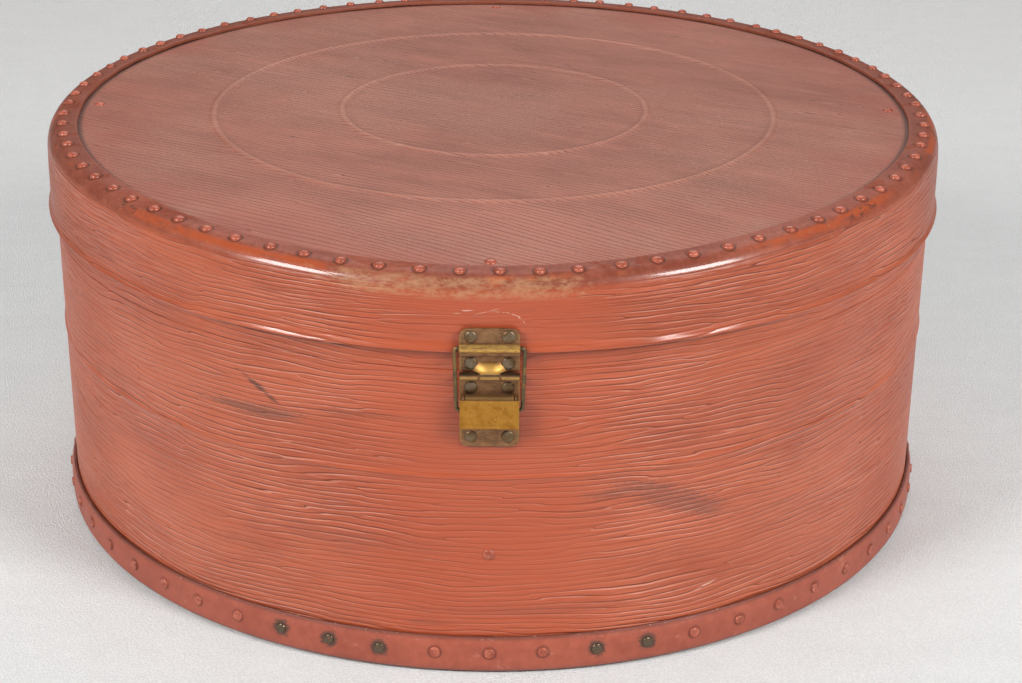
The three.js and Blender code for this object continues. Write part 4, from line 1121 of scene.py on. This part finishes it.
latch_head = head_shape("latch_head", [(0, -0.3), (2.7, -0.3), (2.7, 0.2), (2.5, 0.48), (2.0, 0.7), (1.6, 0.74),
                                       (1.1, 0.82), (0.5, 0.89), (0, 0.9)], 24)
plate_rivet_aside = 7.6
low_face, high_face = low_out + sheet / 2, high_out + sheet / 2
for plate, body, rows, seed in (("strike", "lid", ((low_face, 146.3), (high_face, 159.4)), 13),
                                ("base", "box", ((low_face, 113.4), (low_face, 135.6)), 17)):
    seats = [(on_front(side * plate_rivet_aside, out, up), (math.pi / 2, 0, 0))
             for side in (-1, 1) for out, up in rows]
    nodes = [f"latch_{plate}_rivet_{end}_{side}" for end in ("lower", "upper") for side in ("left", "right")]
    seated_heads(f"latch_{plate}_rivets", seats, latch_head, seed, steel, body, nodes)


# Latch lever
# A folded brass lever that turns on a pin through the base plate's ears. Its face is the part that is
# pressed and pulled, so it is the brightest brass on the box. The barrel's top carries a painted
# highlight, and the parts behind the face a painted shade.

bright_brass, place = new_finish("rubbed brass of the lever")
film = (place * 0.16).cloud(4, 0.65)
fleck = (place * 0.9).cloud(3, 0.6)
x, y, z = place.parts()
colour = (film * 0.7 + fleck * 0.3).eased(0.35, 0.65).between(shade(168, 112, 36), shade(192, 138, 58))
colour = colour.toned((place * 0.5 + 6.0).cloud(4, 0.65).eased(0.56, 0.68) * 0.6, 150, 88, 30)
# Painted highlight: the barrel's upper half and the lever's top edge are painted paler.
colour = colour.toned(z.eased(131.8, 132.2) * 0.5, 196, 154, 92)
# Painted shade: every part set back behind the lever's face is painted darker.
colour = colour.toned((y * -1 - wall_radius).eased(6.2, 5.6) * 0.7, 112, 86, 60)
set_finish(bright_brass, {
    "Base Color": colour,
    "Metallic": 0.8,
    "Roughness": 0.36 + film * 0.2,
    "Normal": relief(film * 0.2 + fleck * 0.05),
})
lever_half = 12.1
cheek_middle = lever_half - sheet / 2
pin_half = 11.4
lever_out = lever_proud + 2.9
lever_line = rounded([(lever_out, lever_axis + 0.8, 0), (lever_out, 121.2, 0.7),
                      (lever_out + 0.9, 119.9, 0)], 4)
cheek = [(2.4, 125.8), (2.4, 123.8), (lever_out - 0.4, 121.3), (lever_out, 121.3), (lever_out, 125.8)]
barrel_half = ear_middle - 0.7
assembled("latch_lever_plate", [
    strip([(p.x, p.y, -lever_half, lever_half) for p in lever_line]),
    strip([(out, lever_axis, -barrel_half, barrel_half) for out in (lever_proud, lever_out)]),
    rod(lever_proud, lever_axis, barrel_radius, -barrel_half, barrel_half),
    *[slab(cheek, side * cheek_middle - sheet / 2, side * cheek_middle + sheet / 2) for side in (-1, 1)],
], on_front, bright_brass, "lever", ["latch_lever"])
assembled("latch_lever_pin_rod", [rod(lever_proud, lever_axis, pin_radius, -pin_half, pin_half)],
          on_front, brass, "box", ["latch_lever_pin"])


# Wire loop
# A loop of stiff brass wire, grey green with age. Its top bar turns in the strike plate's bead, and its
# two open ends turn in behind the lever.

grey_wire, place = new_finish("grey green brass wire")
film = (place * 0.5).cloud(4, 0.6)
rub = (place * 0.2 + 3.0).cloud(3).eased(0.5, 0.65)
set_finish(grey_wire, {
    "Base Color": film.between(shade(88, 76, 54), shade(120, 104, 76)).toned(rub * 0.6, 158, 124, 76),
    "Metallic": 0.8,
    "Roughness": 0.34 + film * 0.25,
    "Normal": relief(film * 0.1),
})
wire_radius, wire_bend = 0.8, 1.9
top_half, foot_half, end_half = 14.3, 13.5, 9.8
loop_foot, foot_proud = 127.4, 5.3
loop_corners = [(-end_half, foot_proud, loop_foot), (-foot_half, foot_proud, loop_foot),
                (-top_half, loop_proud, loop_axis), (top_half, loop_proud, loop_axis),
                (foot_half, foot_proud, loop_foot), (end_half, foot_proud, loop_foot)]
loop_route = [Vector(on_front(*loop_corners[0]))]
for before, here, after in zip(loop_corners, loop_corners[1:], loop_corners[2:]):
    loop_route += eased_corner(*(Vector(on_front(*p)) for p in (before, here, after)), wire_bend, 8)
loop_route.append(Vector(on_front(*loop_corners[-1])))
wire = bpy.data.curves.new("latch_wire", "CURVE")
wire.dimensions = "3D"
line = wire.splines.new("POLY")
line.points.add(len(loop_route) - 1)
for point, p in zip(line.points, loop_route):
    point.co = (*(p * MM), 1)
wire.bevel_depth = wire_radius * MM
wire.bevel_resolution = 4
wire.use_fill_caps = True
wire_holder = bpy.data.objects.new("latch_wire", wire)
bpy.context.scene.collection.objects.link(wire_holder)
graph = bpy.context.evaluated_depsgraph_get()
wire_mesh = bpy.data.meshes.new_from_object(wire_holder.evaluated_get(graph))
bpy.data.objects.remove(wire_holder)
wire_loop = bpy.data.objects.new("latch_wire_rod", wire_mesh)
bpy.context.scene.collection.objects.link(wire_loop)
wire_mesh.shade_smooth()
wire_mesh.set_sharp_from_angle(angle=math.radians(50))
wire_mesh.materials.clear()
wire_mesh.materials.append(grey_wire)
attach(wire_loop, "wire_loop")
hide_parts("latch_wire_loop")


# Hinges
# Two small brass butt hinges behind, each a leaf bent to the wall, a leaf stepped up to the lid's swell
# and three knuckles round a pin, with two steel rivets in each leaf.

hinge_half, hinge_middles = 10.0, {"left": -22.0, "right": 22.0}
hinge_proud, hinge_axis, knuckle_radius = 3.3, 142.7, 1.9
leaf_foot, leaf_top = 121.0, 163.2
knuckle = (2 * hinge_half - 0.6) / 3


def on_back(x, out, up):
    """A place behind the box, this far out from the wall."""
    return x, wall_radius + out, up


def round_back(x, out, up):
    """The same, with x measured along the wall's curve."""
    angle = x / wall_radius
    return (wall_radius + out) * math.sin(angle), (wall_radius + out) * math.cos(angle), up


def bent(shape, parts=6):
    """Splits a strip's wide faces so that it can follow the wall."""
    points, faces = shape
    plate = bmesh.new()
    corners = [plate.verts.new(p) for p in points]
    for face in faces:
        plate.faces.new([corners[k] for k in face])
    long_edges = [e for e in plate.edges if abs(e.verts[0].co.x - e.verts[1].co.x) > 4]
    bmesh.ops.subdivide_edges(plate, edges=long_edges, cuts=parts, use_grid_fill=True)
    plate.verts.ensure_lookup_table()
    plate.verts.index_update()
    split = [tuple(v.co) for v in plate.verts], [tuple(v.index for v in f.verts) for f in plate.faces]
    plate.free()
    return [round_back(*p) for p in split[0]], split[1]


lines = {
    "body": [Vector((low_out, leaf_foot + d)) for d in (0, 0.4, 0.9, 1.6, 2.6, 3.6, 12, 21.4)],
    "lid": [Vector(p) for p in ((low_out, 143.0), (low_out, 148.9), (0.9, 149.5), (3.9, 151.2))] + [
        Vector((high_out, up)) for up in (151.8, 159.6, 160.6, 161.6, 162.3, 162.8, leaf_top)]}
ends = {"body": leaf_foot, "lid": leaf_top}
webs = {"body": (140.9, 142.4), "lid": (143.0, 144.5)}
knuckles = {"body": (0, 2), "lid": (1,)}
bodies = {"body": "box", "lid": "lid"}
heights = {"body": (low_face, 128.0), "lid": (high_face, 158.6)}
for side, middle in hinge_middles.items():
    for part in ("body", "lid"):
        halves = [corner_half(p.y, ends[part], hinge_half) for p in lines[part]]
        leaf = strip([(p.x, p.y, middle - half, middle + half) for p, half in zip(lines[part], halves)])
        shapes = [bent(leaf)]
        for i in knuckles[part]:
            start = middle - hinge_half + i * (knuckle + 0.3)
            low, high = webs[part]
            web_outline = [(-1.6, low), (hinge_proud, low), (hinge_proud, high), (-1.6, high)]
            web = slab(web_outline, start, start + knuckle)
            barrel = rod(hinge_proud, hinge_axis, knuckle_radius, start, start + knuckle)
            shapes += [([on_back(*p) for p in points], faces) for points, faces in (web, barrel)]
        assembled(f"{side}_hinge_{part}_leaf_sheet", shapes, lambda x, y, z: (x, y, z), brass, bodies[part],
                  [f"{side}_hinge_{part}_leaf"])
        out, up = heights[part]
        seats = [on_side(math.pi - (middle + off) / wall_radius, wall_radius + out, up) for off in (-5, 5)]
        seated_heads(f"{side}_hinge_{part}_rivets", seats, latch_head, 19, steel, bodies[part],
                     [f"{side}_hinge_{part}_rivet_left", f"{side}_hinge_{part}_rivet_right"])
    pin = rod(hinge_proud, hinge_axis, pin_radius, middle - hinge_half - 0.4, middle + hinge_half + 0.4)
    assembled(f"{side}_hinge_pin_rod", [pin], on_back, brass, "box", [f"{side}_hinge_pin"])


# Tidying up
# The shapes that were only copied from go.

for shape in (low_head, domed_head, single_head, washer_shape, latch_head):
    bpy.data.objects.remove(shape)
